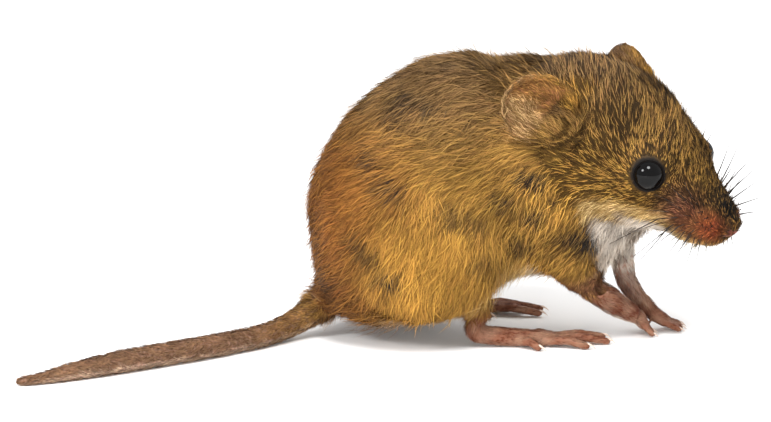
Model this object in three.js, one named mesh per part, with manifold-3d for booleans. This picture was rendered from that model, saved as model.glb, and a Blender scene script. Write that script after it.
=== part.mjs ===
// A harvest mouse (Micromys minutus) at life size, standing on all fours with its head turned to its right.
// Millimetres: +X runs forward along the trunk, +Y to the animal's left, +Z up, and the soles stand on z = 0.
// Every outline is that of the coat, out to the tips of the hair. Neighbouring parts keep a thin gap.

import * as THREE from "three";
import { mergeVertices } from "three/addons/utils/BufferGeometryUtils.js";
import Module from "manifold-3d";

const wasm = await Module();
wasm.setup();

const vec = (x, y, z) => new THREE.Vector3(x, y, z);
const rad = THREE.MathUtils.degToRad;
const lerp = THREE.MathUtils.lerp;
const upward = vec(0, 0, 1);
const level = new THREE.Quaternion();

// Driving dimensions, in millimetres and degrees.

const gap = 0.3; // between neighbouring parts
const facet = { trunk: 2.2, cut: 2.6, head: 1.4, nose: 0.6 }; // facet size of each modelled mass
const softness = { body: 2.6, head: 2.2 }; // how gently one mass runs into the next

const trunkMasses = [
  { name: "rump", centre: vec(1.6, -0.3, 12.2), radii: vec(9.35, 10.0, 10.9) },
  { name: "back", centre: vec(7.9, 0, 16.1), radii: vec(9.5, 10.2, 11.3) },
  { name: "loin", centre: vec(5.0, 0, 15.5), radii: vec(9.0, 9.8, 11.0) },
  { name: "chest", centre: vec(16.2, -0.3, 15.6), radii: vec(8.0, 8.8, 10.2) },
  { name: "belly", centre: vec(8.5, 0, 10.1), radii: vec(9.0, 7.6, 4.6) },
  { name: "seat", centre: vec(-1.3, -1.2, 5.8), radii: vec(5.3, 7.2, 4.6) },
];
const nape = { from: vec(15.5, -0.4, 19.4), to: vec(20.6, -1.6, 19.4), radii: [7.6, 6.7] };
const throat = { centre: vec(21.6, -0.4, 13.8), radii: vec(4.6, 5.0, 5.6) };

// Where the parts meet: each cutter holds one part of the whole form.
const neckPlane = { through: vec(9.4, 0, 27.3), tilt: 38 }; // leans back from the chest to the nape
const headCutter = { centre: vec(7.5, 0, 1.5), radii: vec(13.5, 10.5, 8.2) }; // in the head's own frame
const thighCutter = { centre: vec(4.2, 10.2, 9.0), radii: vec(7.4, 7.2, 7.7) };
const armCutters = [
  { side: "right", from: vec(16.0, -7.5, 14.0), to: vec(19.4, -4.9, 6.2), radii: [4.6, 3.2] },
  { side: "left", from: vec(18.2, 6.8, 13.5), to: vec(22.6, 2.9, 9.0), radii: [4.4, 2.9] },
];

const head = { place: vec(19.9, -1.5, 21.9), yaw: -34.6, pitch: 31.5, roll: 3.4 };
const skullMasses = [
  { name: "cranium", centre: vec(1.2, 0, -0.9), radii: vec(7.4, 7.0, 6.0) },
  { name: "forehead", centre: vec(6.0, 0, 0.2), radii: vec(6.4, 5.4, 4.9) },
];
const cheek = { centre: vec(6.3, 3.2, -2.0), radii: vec(5.0, 3.3, 3.8) };
const whiskerPad = { centre: vec(14.0, 1.5, -1.5), radii: vec(2.4, 1.7, 1.7) };
const muzzle = { from: vec(9.0, 0, -0.4), to: vec(15.2, 0, -0.8), radii: [4.3, 2.3] };
const chin = { from: vec(8.0, 0, -4.0), to: vec(13.3, 0, -3.1), radii: [2.4, 1.2] };
const nose = { centre: vec(17.1, 0, -0.4), radii: vec(1.05, 1.3, 1.0) };
const eye = { centre: vec(9.35, 4.4, 0.85), radius: 1.5 };
// along runs from the root of the ear to its tip, and facing is what its hollow looks at
const ears = {
  right: { root: vec(0.0, 7.3, 1.1), along: vec(-0.85, 0.47, 0.2), facing: vec(0.57, 0.8, 0.19) },
  left: { root: vec(-0.3, 6.5, -0.6), along: vec(-0.96, 0.2, 0.1), facing: vec(0.4, 0.9, 0.2) },
};
const pinna = { buried: 1.9, length: 7.5, width: 6.8, rootShare: 0.8, cup: 1.7, thickness: 0.75 };

const thigh = { centre: vec(4.0, 7.0, 9.3), radii: vec(7.0, 4.6, 7.1), lean: -8 };
const leftLegBack = 2.4; // the left hind leg stands this much further back
const upperArms = [
  { side: "right", shoulder: vec(16.2, -5.6, 13.4), elbow: vec(19.0, -4.7, 6.9), radii: [4.1, 2.3] },
  { side: "left", shoulder: vec(18.2, 5.0, 13.1), elbow: vec(22.6, 2.7, 9.4), radii: [3.9, 1.7] },
];
const forearms = [
  {
    side: "right",
    path: [vec(18.2, -4.8, 6.8), vec(20.2, -4.0, 4.9), vec(22.1, -2.9, 3.2), vec(23.9, -1.9, 2.0)],
    radii: [1.9, 1.6, 1.35, 1.0],
  },
  {
    side: "left",
    path: [vec(22.6, 2.6, 9.2), vec(22.8, 2.0, 6.2), vec(23.4, 1.6, 4.0), vec(25.5, 0.8, 1.8)],
    radii: [1.5, 1.3, 1.15, 0.9],
  },
];
const hand = { width: 1.05, fingers: 4, fingerRadius: 0.38, fan: 1.5 }; // fan: how far the fingertips spread
const hands = [
  { side: "right", wrist: vec(24.0, -1.6, 1.9), heading: 8, knuckle: [0.7, 1.0], tip: [1.5, 0.32] },
  { side: "left", wrist: vec(25.6, 0.7, 1.6), heading: -4, knuckle: [1.4, 0.75], tip: [2.8, 0.32] },
]; // knuckles and fingertips: how far forward of the wrist, and how high
const shankRadii = [1.5, 1.2, 0.95];
const shanks = [
  { side: "right", path: [vec(8.9, -6.4, 5.6), vec(8.6, -6.3, 3.3), vec(8.3, -6.0, 1.5)] },
  { side: "left", path: [vec(3.6, 7.2, 5.6), vec(2.6, 7.0, 3.3), vec(2.5, 6.9, 1.5)] },
];
const [ankleTurn, wristTurn] = [45, 20]; // how far the cut across a joint turns from the leg towards the foot
const foot = { sole: 7.4, width: 2.9, height: 1.9, toeRadius: 0.48 };
const toes = [
  { root: [4.2, 0.9], tip: [5.7, 2.3] }, // the outer one: how far forward and outward of the heel
  { root: [6.6, 0.9], tip: [10.3, 2.3] },
  { root: [7.1, 0.3], tip: [12.5, 0.8] },
  { root: [6.9, -0.4], tip: [12.4, -1.0] },
  { root: [5.0, -0.95], tip: [7.6, -2.2] },
];
const feet = [
  { side: "right", heel: vec(8.4, -6.0, 0), heading: 7 },
  { side: "left", heel: vec(2.6, 6.9, 0), heading: -3 },
];

const tail = [
  { at: vec(-2.5, 0.6, 6.4), radius: 2.0 },
  { at: vec(-4.7, -0.3, 4.2), radius: 1.8 },
  { at: vec(-6.7, -1.6, 2.6), radius: 1.5 },
  { at: vec(-9.0, -3.4, 1.5), radius: 1.22 },
  { at: vec(-11.7, -6.0, 1.08), radius: 1.16 },
  { at: vec(-15.6, -9.2, 1.08), radius: 1.16 },
  { at: vec(-20.4, -12.5, 1.08), radius: 1.16 },
  { at: vec(-25.0, -15.5, 1.04), radius: 1.12 },
  { at: vec(-28.4, -17.5, 0.82), radius: 0.9 },
  { at: vec(-31.0, -18.8, 0.58), radius: 0.65 },
  { at: vec(-33.1, -19.5, 0.42), radius: 0.48 },
];
const tailLengths = [
  { name: "tail_base", from: 0, to: 0.36, rings: 9 },
  { name: "tail_middle", from: 0.36, to: 0.7, rings: 9 },
  { name: "tail_end", from: 0.7, to: 1, rings: 9 },
];

// Solids.

function solidOfArrays(vertices, triangles) {
  return new wasm.Manifold(
    new wasm.Mesh({
      numProp: 3,
      vertProperties: new Float32Array(vertices),
      triVerts: new Uint32Array(triangles),
    }),
  );
}

function solidOfGeometry(geometry, matrix) {
  const bare = geometry.clone().applyMatrix4(matrix);
  bare.deleteAttribute("normal");
  bare.deleteAttribute("uv");
  const merged = mergeVertices(bare, 1e-4);
  return solidOfArrays(merged.attributes.position.array, merged.index.array);
}

// A box far larger than the animal, filling all that lies behind a plane.
function behindPlane(through, normal) {
  const size = 200;
  const turn = new THREE.Quaternion().setFromUnitVectors(upward, normal);
  const middle = through.clone().addScaledVector(normal, -size / 2);
  const matrix = new THREE.Matrix4().compose(middle, turn, vec(1, 1, 1));
  return solidOfGeometry(new THREE.BoxGeometry(size, size, size), matrix);
}

// Fields: each gives about how far a point lies outside a shape, and is negative within it.

function ellipsoid(centre, radii, turn = level) {
  const undo = turn.clone().invert();
  const q = new THREE.Vector3();
  return (p) => {
    q.copy(p).sub(centre).applyQuaternion(undo);
    const share = Math.hypot(q.x / radii.x, q.y / radii.y, q.z / radii.z);
    const slope = Math.hypot(q.x / radii.x ** 2, q.y / radii.y ** 2, q.z / radii.z ** 2);
    return slope === 0 ? -Math.min(radii.x, radii.y, radii.z) : (share * (share - 1)) / slope;
  };
}

function roundCone(from, to, [fromRadius, toRadius]) {
  const axis = to.clone().sub(from);
  const q = new THREE.Vector3();
  return (p) => {
    const t = THREE.MathUtils.clamp(q.copy(p).sub(from).dot(axis) / axis.lengthSq(), 0, 1);
    return q.addScaledVector(axis, -t).length() - lerp(fromRadius, toRadius, t);
  };
}

function blended(fields, reach) {
  return (p) =>
    fields
      .map((field) => field(p))
      .reduce((a, b) => {
        const overlap = Math.max(reach - Math.abs(a - b), 0) / reach;
        return Math.min(a, b) - (overlap * overlap * reach) / 4;
      });
}

const grown = (field, margin) => (p) => field(p) - margin;

// Moves a point onto the surface of a field by a few Newton steps.
function pullOnto(field, point, step) {
  const probe = step / 20;
  for (let turn = 0; turn < 3; turn++) {
    const slope = vec(
      ...[vec(probe, 0, 0), vec(0, probe, 0), vec(0, 0, probe)].map(
        (d) => (field(point.clone().add(d)) - field(point.clone().sub(d))) / (2 * probe),
      ),
    );
    const move = field(point) / Math.max(slope.lengthSq(), 0.25);
    point.addScaledVector(slope, -THREE.MathUtils.clamp(move, -step / 2, step / 2));
  }
  return point;
}

// The closed surface where a field is zero: one vertex in each cell of a grid that the surface crosses.
function solidOfField(field, low, high, step) {
  const size = high.clone().sub(low).divideScalar(step).ceil().addScalar(1).toArray();
  const strides = [1, size[0], size[0] * size[1]];
  const corners = [...Array(8).keys()].map((c) => [c & 1, (c >> 1) & 1, c >> 2]);
  const place = (cell) => vec(...cell).multiplyScalar(step).add(low);
  const indexOf = (cell) => cell[0] + cell[1] * strides[1] + cell[2] * strides[2];
  const cells = [];
  for (let k = 0; k < size[2]; k++)
    for (let j = 0; j < size[1]; j++) for (let i = 0; i < size[0]; i++) cells.push([i, j, k]);
  const values = cells.map((cell) => field(place(cell)));

  const vertexOf = new Map();
  const vertices = [];
  for (const cell of cells) {
    if (cell.some((c, axis) => c === size[axis] - 1)) continue;
    const crossings = [];
    for (const corner of corners)
      for (let axis = 0; axis < 3; axis++) {
        if (corner[axis]) continue;
        const start = cell.map((c, a) => c + corner[a]);
        const [a, b] = [values[indexOf(start)], values[indexOf(start) + strides[axis]]];
        if (a < 0 === b < 0) continue;
        const along = start.slice();
        along[axis] += a / (a - b);
        crossings.push(place(along));
      }
    if (!crossings.length) continue;
    const middle = crossings.reduce((sum, p) => sum.add(p), vec(0, 0, 0)).divideScalar(crossings.length);
    vertexOf.set(indexOf(cell), vertices.length);
    vertices.push(pullOnto(field, middle, step));
  }

  const triangles = [];
  for (const cell of cells) {
    const here = indexOf(cell);
    for (let axis = 0; axis < 3; axis++) {
      if (cell[axis] === size[axis] - 1) continue;
      const inside = values[here] < 0;
      if (inside === values[here + strides[axis]] < 0) continue;
      const [b, c] = [strides[(axis + 1) % 3], strides[(axis + 2) % 3]];
      const quad = [here, here - b, here - b - c, here - c].map((index) => vertexOf.get(index));
      if (!inside) quad.reverse();
      const [p, q, r, s] = quad.map((v) => vertices[v]);
      const turn = p.distanceTo(r) < q.distanceTo(s) ? 0 : 1;
      const at = (n) => quad[(n + turn) % 4];
      triangles.push(at(0), at(1), at(2), at(0), at(2), at(3));
    }
  }
  return solidOfArrays(vertices.flatMap((v) => v.toArray()), triangles);
}

// A closed solid through rings of points that turn anticlockwise about the way back, with a point at each end
function solidOfRings(rings, start, end) {
  const sides = rings[0].length;
  const vertices = [start, ...rings.flat(), end];
  const last = vertices.length - 1;
  const at = (ring, side) => 1 + ring * sides + (side % sides);
  const triangles = [];
  for (let side = 0; side < sides; side++) {
    triangles.push(0, at(0, side), at(0, side + 1));
    for (let ring = 0; ring < rings.length - 1; ring++) {
      const [near, far] = [at(ring, side), at(ring + 1, side + 1)];
      triangles.push(near, at(ring + 1, side), far, near, far, at(ring, side + 1));
    }
    triangles.push(last, at(rings.length - 1, side + 1), at(rings.length - 1, side));
  }
  return solidOfArrays(vertices.flatMap((v) => v.toArray()), triangles);
}

// A limb along a smooth curve through its points, with an oval section at each and rounded ends.
// widths and heights are half sizes; up is the way its height is measured.
function limb(points, widths, heights, { sides, rings, from = 0, to = 1, domes = [1, 1], up = upward }) {
  const curve = new THREE.CatmullRomCurve3(points, false, "centripetal");
  const sizeAt = (sizes, t) => {
    const n = Math.min(Math.floor(t * (sizes.length - 1)), sizes.length - 2);
    return lerp(sizes[n], sizes[n + 1], t * (sizes.length - 1) - n);
  };
  const section = (t, advance, share) => {
    const tangent = curve.getTangent(t);
    const across = tangent.clone().cross(up).normalize();
    const tall = across.clone().cross(tangent);
    const centre = curve.getPoint(t).addScaledVector(tangent, advance * sizeAt(heights, t));
    return [...Array(sides).keys()].map((side) => {
      const angle = ((side + 0.5) / sides) * 2 * Math.PI;
      return centre
        .clone()
        .addScaledVector(across, Math.cos(angle) * sizeAt(widths, t) * share)
        .addScaledVector(tall, Math.sin(angle) * sizeAt(heights, t) * share);
    });
  };
  const middle = [...Array(rings).keys()].map((n) => section(lerp(from, to, n / (rings - 1)), 0, 1));
  const tipAt = (t, way) =>
    curve.getPoint(t).addScaledVector(curve.getTangent(t), way * sizeAt(heights, t));
  const all = [
    ...(domes[0] ? [section(from, -0.6, 0.75)] : []),
    ...middle,
    ...(domes[1] ? [section(to, 0.6, 0.75)] : []),
  ];
  return solidOfRings(all, tipAt(from, -0.95 * domes[0]), tipAt(to, 0.95 * domes[1]));
}

const sign = { right: -1, left: 1 };

// Head. Its own frame has x towards the nose, y to its left and z to its crown.

const headTurn = new THREE.Quaternion().setFromEuler(
  new THREE.Euler(rad(head.roll), rad(head.pitch), rad(head.yaw), "ZYX"),
);
const inHead = (p) => p.clone().applyQuaternion(headTurn).add(head.place);
const mirrored = (p, side) => vec(p.x, p.y * side, p.z);
const headMass = (centre, radii) => ellipsoid(inHead(centre), radii, headTurn);

const headField = blended(
  [
    ...skullMasses.map(({ centre, radii }) => headMass(centre, radii)),
    ...[1, -1].map((side) => headMass(mirrored(cheek.centre, side), cheek.radii)),
    roundCone(inHead(muzzle.from), inHead(muzzle.to), muzzle.radii),
    ...[1, -1].map((side) => headMass(mirrored(whiskerPad.centre, side), whiskerPad.radii)),
    roundCone(inHead(chin.from), inHead(chin.to), chin.radii),
  ],
  softness.head,
);

// The pinna: a shallow dish, narrower where it grows from the head.
function earSolid(name) {
  const side = sign[name];
  const along = mirrored(ears[name].along, side).normalize();
  const facing = mirrored(ears[name].facing, side);
  facing.addScaledVector(along, -facing.dot(along)).normalize();
  const across = along.clone().cross(facing);
  const start = mirrored(ears[name].root, side).addScaledVector(along, -pinna.buried);
  const [turns, circles] = [14, 3];
  const point = (circle, turn, depth) => {
    const share = circle / circles;
    const angle = (turn / turns) * 2 * Math.PI;
    const reach = (1 + Math.cos(angle)) / 2; // 1 at the tip, 0 at the root
    const width = (pinna.width / 2) * lerp(pinna.rootShare, 1, Math.min(1, 1.5 * reach));
    return inHead(
      start
        .clone()
        .addScaledVector(along, (pinna.length / 2) * (1 + Math.cos(angle) * share))
        .addScaledVector(across, width * Math.sin(angle) * share)
        .addScaledVector(facing, pinna.cup * share ** 2 + depth),
    );
  };
  const half = pinna.thickness / 2;
  const ring = (circle, depth) => [...Array(turns).keys()].map((turn) => point(circle, turn, depth));
  const rings = [
    ...[1, 2].map((circle) => ring(circle, -half)),
    ring(circles - 0.15, -half * 0.8),
    ring(circles, 0),
    ring(circles - 0.15, half * 0.8),
    ...[2, 1].map((circle) => ring(circle, half)),
  ];
  return solidOfRings(rings, point(0, 0, -half), point(0, 0, half));
}

const ball = (centre, radius, sides = 12) =>
  solidOfGeometry(
    new THREE.SphereGeometry(radius, sides, sides / 2),
    new THREE.Matrix4().makeTranslation(centre),
  );

// Legs.

const thighTurn = new THREE.Quaternion().setFromAxisAngle(vec(0, 1, 0), rad(thigh.lean));
const setback = (side) => (side === "left" ? leftLegBack : 0);
const thighField = (side) =>
  ellipsoid(
    mirrored(thigh.centre, sign[side]).setX(thigh.centre.x - setback(side)),
    thigh.radii,
    thighTurn,
  );

const shankSolid = ({ path }) =>
  limb(path, shankRadii, shankRadii, { sides: 8, rings: 5, up: vec(1, 0, 0) });
const forearmSolid = ({ path, radii }) =>
  limb(path, radii, radii.map((r) => r * 0.92), { sides: 8, rings: 6 });

// A point on the ground plan of a foot, forward of its heel or wrist and outward from its middle line.
function onFoot({ side, heading }, origin, [forward, outward], height) {
  return vec(forward, outward * sign[side], 0)
    .applyAxisAngle(upward, rad(heading))
    .add(origin)
    .setZ(height);
}

function hindFootSolid(foothold) {
  const at = (forward, outward, height) => onFoot(foothold, foothold.heel, [forward, outward], height);
  const stretch = limb(
    [at(0.2, 0, 1.3), at(foot.sole * 0.45, 0, 0.85), at(foot.sole, 0, 0.6)],
    [0.95, 1.05, foot.width / 2],
    [0.95, foot.height / 2, 0.7],
    { sides: 8, rings: 4 },
  );
  const toe = ({ root, tip }) => {
    const bend = root.map((from, n) => lerp(from, tip[n], 0.55));
    return limb(
      [at(...root, 0.6), at(...bend, 0.78), at(...tip, 0.36)],
      [foot.toeRadius, foot.toeRadius, foot.toeRadius * 0.85],
      [foot.toeRadius, foot.toeRadius, foot.toeRadius * 0.85],
      { sides: 6, rings: 3, domes: [0, 1] },
    );
  };
  return toes.reduce((joined, each) => joined.add(toe(each)), stretch);
}

function foreFootSolid(foothold) {
  const { wrist, knuckle, tip } = foothold;
  const at = (forward, outward, height) => onFoot(foothold, wrist, [forward, outward], height);
  const palm = limb(
    [at(0, 0, wrist.z), at(knuckle[0], 0, knuckle[1])],
    [0.8, hand.width],
    [0.8, 0.6],
    { sides: 8, rings: 3 },
  );
  const finger = (n) => {
    const place = (n / (hand.fingers - 1) - 0.5) * hand.width * 1.5;
    return limb(
      [at(knuckle[0], place, knuckle[1]), at(tip[0] - Math.abs(place) * 0.3, place * hand.fan, tip[1])],
      [hand.fingerRadius, hand.fingerRadius * 0.85],
      [hand.fingerRadius, hand.fingerRadius * 0.85],
      { sides: 6, rings: 2, domes: [0, 1] },
    );
  };
  return [...Array(hand.fingers).keys()].reduce((joined, n) => joined.add(finger(n)), palm);
}

// Parting: the whole animal is one soft form, cut into its parts.

const armForms = upperArms.map(({ shoulder, elbow, radii }) => roundCone(shoulder, elbow, radii));
const wholeForm = blended(
  [
    ...trunkMasses.map(({ centre, radii }) => ellipsoid(centre, radii)),
    roundCone(nape.from, nape.to, nape.radii),
    ellipsoid(throat.centre, throat.radii),
    ...["right", "left"].map(thighField),
    ...armForms,
    headField,
  ],
  softness.body,
);
const bodyBox = [vec(-12, -18, -1), vec(42, 18, 34)];
const whole = solidOfField(wholeForm, ...bodyBox, facet.trunk);
const coatRoom = solidOfField(grown(wholeForm, gap), ...bodyBox, facet.trunk);

const headRegion = headMass(headCutter.centre, headCutter.radii);
const thighRegion = (side) =>
  ellipsoid(
    mirrored(thighCutter.centre, sign[side]).setX(thighCutter.centre.x - setback(side)),
    thighCutter.radii,
  );
const armRegions = armCutters.map(({ from, to, radii }) => roundCone(from, to, radii));
const cutter = (region, margin) => solidOfField(grown(region, margin), ...bodyBox, facet.cut);

const neckNormal = vec(Math.cos(rad(neckPlane.tilt)), 0, Math.sin(rad(neckPlane.tilt)));
const behindNeck = (ahead) =>
  behindPlane(neckPlane.through.clone().addScaledVector(neckNormal, ahead), neckNormal);
const belowGround = behindPlane(vec(0, 0, 0), upward);
const largest = (solid) =>
  solid.decompose().reduce((best, body) => (body.volume() > best.volume() ? body : best));

const noseForm = headMass(nose.centre, nose.radii);
const noseBox = [-2, 2].map((reach) => inHead(nose.centre).addScalar(reach));
const noseSolid = (margin) => solidOfField(grown(noseForm, margin), ...noseBox, facet.nose);
const eyeSolid = (side, margin) => ball(inHead(mirrored(eye.centre, sign[side])), eye.radius + margin);

// The head is netted finely by itself, a little past its cutter, and then trimmed.
const headAndMargin = (p) => Math.max(wholeForm(p), headRegion(p) - 2);
const headBox = [vec(6, -22, 4), vec(42, 16, 34)];
const headSolid = solidOfField(headAndMargin, ...headBox, facet.head)
  .intersect(cutter(headRegion, 0))
  .subtract(eyeSolid("right", gap))
  .subtract(eyeSolid("left", gap))
  .subtract(noseSolid(gap));

const body = whole.subtract(cutter(headRegion, gap));
const limbRegions = [...["right", "left"].map(thighRegion), ...armRegions];
const trunkAndNeck = limbRegions.reduce((solid, region) => solid.subtract(cutter(region, gap)), body);

const solids = new Map();

// Parts a leg from its foot by a plane across the last point of the leg's path, turned towards the foot.
function setLeg(leg, foot, path, turn) {
  const joint = path.at(-1);
  const down = joint.clone().sub(path.at(-2)).normalize();
  down.lerp(vec(1, 0, 0), turn / 90).normalize();
  const above = (setback) => behindPlane(joint.clone().addScaledVector(down, setback), down);
  solids.set(leg.name, largest(leg.solid.subtract(coatRoom).intersect(above(-gap / 2))));
  solids.set(foot.name, largest(foot.solid.subtract(above(gap / 2)).subtract(belowGround)));
}

const tailCurve = tail.map(({ at }) => at);
const tailRadii = tail.map(({ radius }) => radius);
const tailGap = gap / new THREE.CatmullRomCurve3(tailCurve, false, "centripetal").getLength();
const tailSides = 8;
tailLengths.forEach(({ name, from, to, rings }, n) => {
  const first = n === 0;
  const last = n === tailLengths.length - 1;
  const ends = { from: first ? from : from + tailGap, to, domes: [first ? 1 : 0, last ? 1 : 0] };
  const length = limb(tailCurve, tailRadii, tailRadii, { sides: tailSides, rings, ...ends });
  solids.set(name, length.subtract(belowGround));
});
solids.set("tail_base", largest(solids.get("tail_base").subtract(coatRoom)));

solids.set("trunk", largest(trunkAndNeck.intersect(behindNeck(0))));
solids.set("neck", largest(trunkAndNeck.subtract(behindNeck(gap))));
solids.set("head", largest(headSolid));
solids.set("nose", noseSolid(0));
["right", "left"].forEach((side, n) => {
  solids.set("eye_" + side, eyeSolid(side, 0));
  solids.set("ear_" + side, largest(earSolid(side).subtract(coatRoom)));
  solids.set("thigh_" + side, largest(whole.intersect(cutter(thighRegion(side), 0))));
  solids.set("upper_arm_" + side, largest(body.intersect(cutter(armRegions[n], 0))));
  setLeg(
    { name: "shank_" + side, solid: shankSolid(shanks[n]) },
    { name: "hind_foot_" + side, solid: hindFootSolid(feet[n]) },
    shanks[n].path,
    ankleTurn,
  );
  setLeg(
    { name: "forearm_" + side, solid: forearmSolid(forearms[n]) },
    { name: "fore_foot_" + side, solid: foreFootSolid(hands[n]) },
    forearms[n].path,
    wristTurn,
  );
});

// Materials and the finished group.

const coatFinish = { roughness: 0.9, metalness: 0 };
const bareFinish = { roughness: 0.6, metalness: 0 };
const finishes = {
  trunk: { color: "#8a6430", ...coatFinish },
  neck: { color: "#8f6a36", ...coatFinish },
  head: { color: "#8c6836", ...coatFinish },
  thigh: { color: "#b07c35", ...coatFinish },
  upper: { color: "#94723f", ...coatFinish },
  shank: { color: "#9a6f58", ...bareFinish },
  forearm: { color: "#a0705a", ...bareFinish },
  hind: { color: "#b08070", ...bareFinish },
  fore: { color: "#a87868", ...bareFinish },
  tail: { color: "#7d5a46", ...coatFinish },
  ear: { color: "#a8774f", ...bareFinish },
  nose: { color: "#c8685a", roughness: 0.5, metalness: 0 },
  eye: { color: "#0b0908", roughness: 0.08, metalness: 0 },
};

const mouse = new THREE.Group();
for (const [name, solid] of solids) {
  const { vertProperties, triVerts } = solid.getMesh();
  const geometry = new THREE.BufferGeometry();
  geometry.setAttribute("position", new THREE.BufferAttribute(vertProperties, 3));
  geometry.setIndex(new THREE.BufferAttribute(triVerts, 1));
  geometry.computeVertexNormals();
  const mesh = new THREE.Mesh(geometry, new THREE.MeshStandardMaterial(finishes[name.split("_")[0]]));
  mesh.name = name;
  mouse.add(mesh);
}

// The origin is under the middle of the animal's box, on the ground.
const box = new THREE.Box3().setFromObject(mouse);
const middle = box.getCenter(vec(0, 0, 0));
mouse.position.set(-middle.x, -middle.y, -box.min.z);

export default mouse;
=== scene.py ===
import math

import bpy
import numpy as np
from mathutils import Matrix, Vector
from mathutils.bvhtree import BVHTree


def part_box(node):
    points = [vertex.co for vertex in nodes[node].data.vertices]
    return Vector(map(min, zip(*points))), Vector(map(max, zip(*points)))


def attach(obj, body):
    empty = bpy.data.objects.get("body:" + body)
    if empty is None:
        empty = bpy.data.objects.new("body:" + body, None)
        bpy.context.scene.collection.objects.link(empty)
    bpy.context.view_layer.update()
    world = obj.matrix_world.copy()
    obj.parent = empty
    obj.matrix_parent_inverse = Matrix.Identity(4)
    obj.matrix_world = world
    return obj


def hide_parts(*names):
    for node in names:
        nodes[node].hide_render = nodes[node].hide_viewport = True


# A harvest mouse standing on all fours, as a museum model. Lengths are worked in millimetres, in the frame's
# axes, and turned to metres where a mesh is made.
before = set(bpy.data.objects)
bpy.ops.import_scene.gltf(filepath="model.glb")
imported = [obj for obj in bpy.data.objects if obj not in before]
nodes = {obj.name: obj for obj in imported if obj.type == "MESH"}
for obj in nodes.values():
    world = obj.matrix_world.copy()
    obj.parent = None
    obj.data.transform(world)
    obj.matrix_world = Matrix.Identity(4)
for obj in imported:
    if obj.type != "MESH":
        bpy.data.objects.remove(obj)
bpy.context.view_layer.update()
random = np.random.default_rng(11)
millimetre = 0.001  # in metres
sign = {"right": -1, "left": 1}  # which way y runs on each side of the animal
print("frame loaded,", len(nodes), "nodes")


# Small tools

def linear(code):  # sRGB hex to linear colour
    parts = [int(code[n:n + 2], 16) / 255 for n in (1, 3, 5)]
    return [p / 12.92 if p <= 0.04045 else ((p + 0.055) / 1.055) ** 2.4 for p in parts] + [1.0]


def unit(rows):
    rows = np.asarray(rows, float)
    return rows / np.maximum(np.linalg.norm(rows, axis=-1, keepdims=True), 1e-9)


def smooth(value, low, high):  # 0 at low, 1 at high, with a soft run between
    share = np.clip((value - low) / (high - low), 0, 1)
    return share * share * (3 - 2 * share)


def blob(points, centre, radii, edge=0.5):  # 1 inside an ellipsoid, fading to 0 beyond its edge
    reach = np.linalg.norm((points - np.asarray(centre, float)) / np.asarray(radii, float), axis=-1)
    return 1 - smooth(reach, 1 - edge, 1 + edge)


def across(rows, normals):  # the part of each row that lies in the surface, at unit length
    return unit(rows - normals * np.sum(rows * normals, axis=1, keepdims=True))


def makeObject(name, points, faces, scale=millimetre):
    mesh = bpy.data.meshes.new(name)
    faces = np.asarray(faces, np.int32)
    mesh.vertices.add(len(points))
    mesh.vertices.foreach_set("co", (np.asarray(points) * scale).astype(np.float32).ravel())
    mesh.loops.add(faces.size)
    mesh.loops.foreach_set("vertex_index", faces.ravel())
    mesh.polygons.add(len(faces))
    mesh.polygons.foreach_set("loop_start", np.arange(len(faces), dtype=np.int32) * faces.shape[1])
    mesh.update(calc_edges=True)
    mesh.polygons.foreach_set("use_smooth", np.ones(len(faces), bool))
    made = bpy.data.objects.new(name, mesh)
    bpy.context.scene.collection.objects.link(made)
    return made


def arraysOf(mesh):  # points and triangles of a mesh
    points = np.empty(len(mesh.vertices) * 3, np.float32)
    mesh.vertices.foreach_get("co", points)
    mesh.calc_loop_triangles()
    triangles = np.empty(len(mesh.loop_triangles) * 3, np.int32)
    mesh.loop_triangles.foreach_get("vertices", triangles)
    return points.reshape(-1, 3).astype(float), triangles.reshape(-1, 3)


def modified(form):  # points and triangles of an object under its modifiers; the object itself goes
    graph = bpy.context.evaluated_depsgraph_get()
    mesh = bpy.data.meshes.new_from_object(form.evaluated_get(graph))
    result = arraysOf(mesh)
    bpy.data.objects.remove(form)
    bpy.data.meshes.remove(mesh)
    return result


def joined(parts):  # several lots of points and faces as one
    points, faces = zip(*parts)
    starts = np.cumsum([0] + [len(p) for p in points[:-1]])
    return np.concatenate(points), np.concatenate([f + start for f, start in zip(faces, starts)])


def normalsOf(points, triangles):
    a, b, c = (points[triangles[:, n]] for n in range(3))
    faceNormals = np.cross(b - a, c - a)
    total = np.zeros_like(points)
    for axis in range(3):
        for n in range(3):
            total[:, axis] += np.bincount(triangles[:, n], faceNormals[:, axis], len(points))
    return unit(total)


def averager(count, triangles):  # a function that takes each vertex's value to the mean of its neighbours
    pairs = np.concatenate([triangles[:, [0, 1]], triangles[:, [1, 2]], triangles[:, [2, 0]]])
    first, second = np.unique(np.sort(pairs, axis=1), axis=0).T
    degree = np.maximum(np.bincount(first, minlength=count) + np.bincount(second, minlength=count), 1)

    def average(values):
        total = [
            np.bincount(first, column[second], count) + np.bincount(second, column[first], count)
            for column in values.reshape(count, -1).T
        ]
        return (np.stack(total, axis=1) / degree[:, None]).reshape(values.shape)

    return average


def relaxed(points, average, times, pull, push):  # shrinks and swells in turn, to keep the volume
    for n in range(times):
        points = points + pull * (average(points) - points)
        points = points - push * (average(points) - points)
    return points


def attribute(mesh, name, values):  # a number or a vector for each vertex
    kind = "FLOAT" if values.ndim == 1 else "FLOAT_VECTOR"
    field = "value" if values.ndim == 1 else "vector"
    made = mesh.attributes.new(name, kind, "POINT")
    made.data.foreach_set(field, values.astype(np.float32).ravel())


# Ways to join rows of points into faces

def band(a, b, step):  # triangles between one row of points and the row that stands step further on
    return [np.stack([a, b, b + step], 1), np.stack([a, b + step, a + step], 1)]


def fan(a, b, tip):  # triangles between a row of points and one tip
    return np.stack([a, b, np.full(len(a), tip)], 1)


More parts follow.
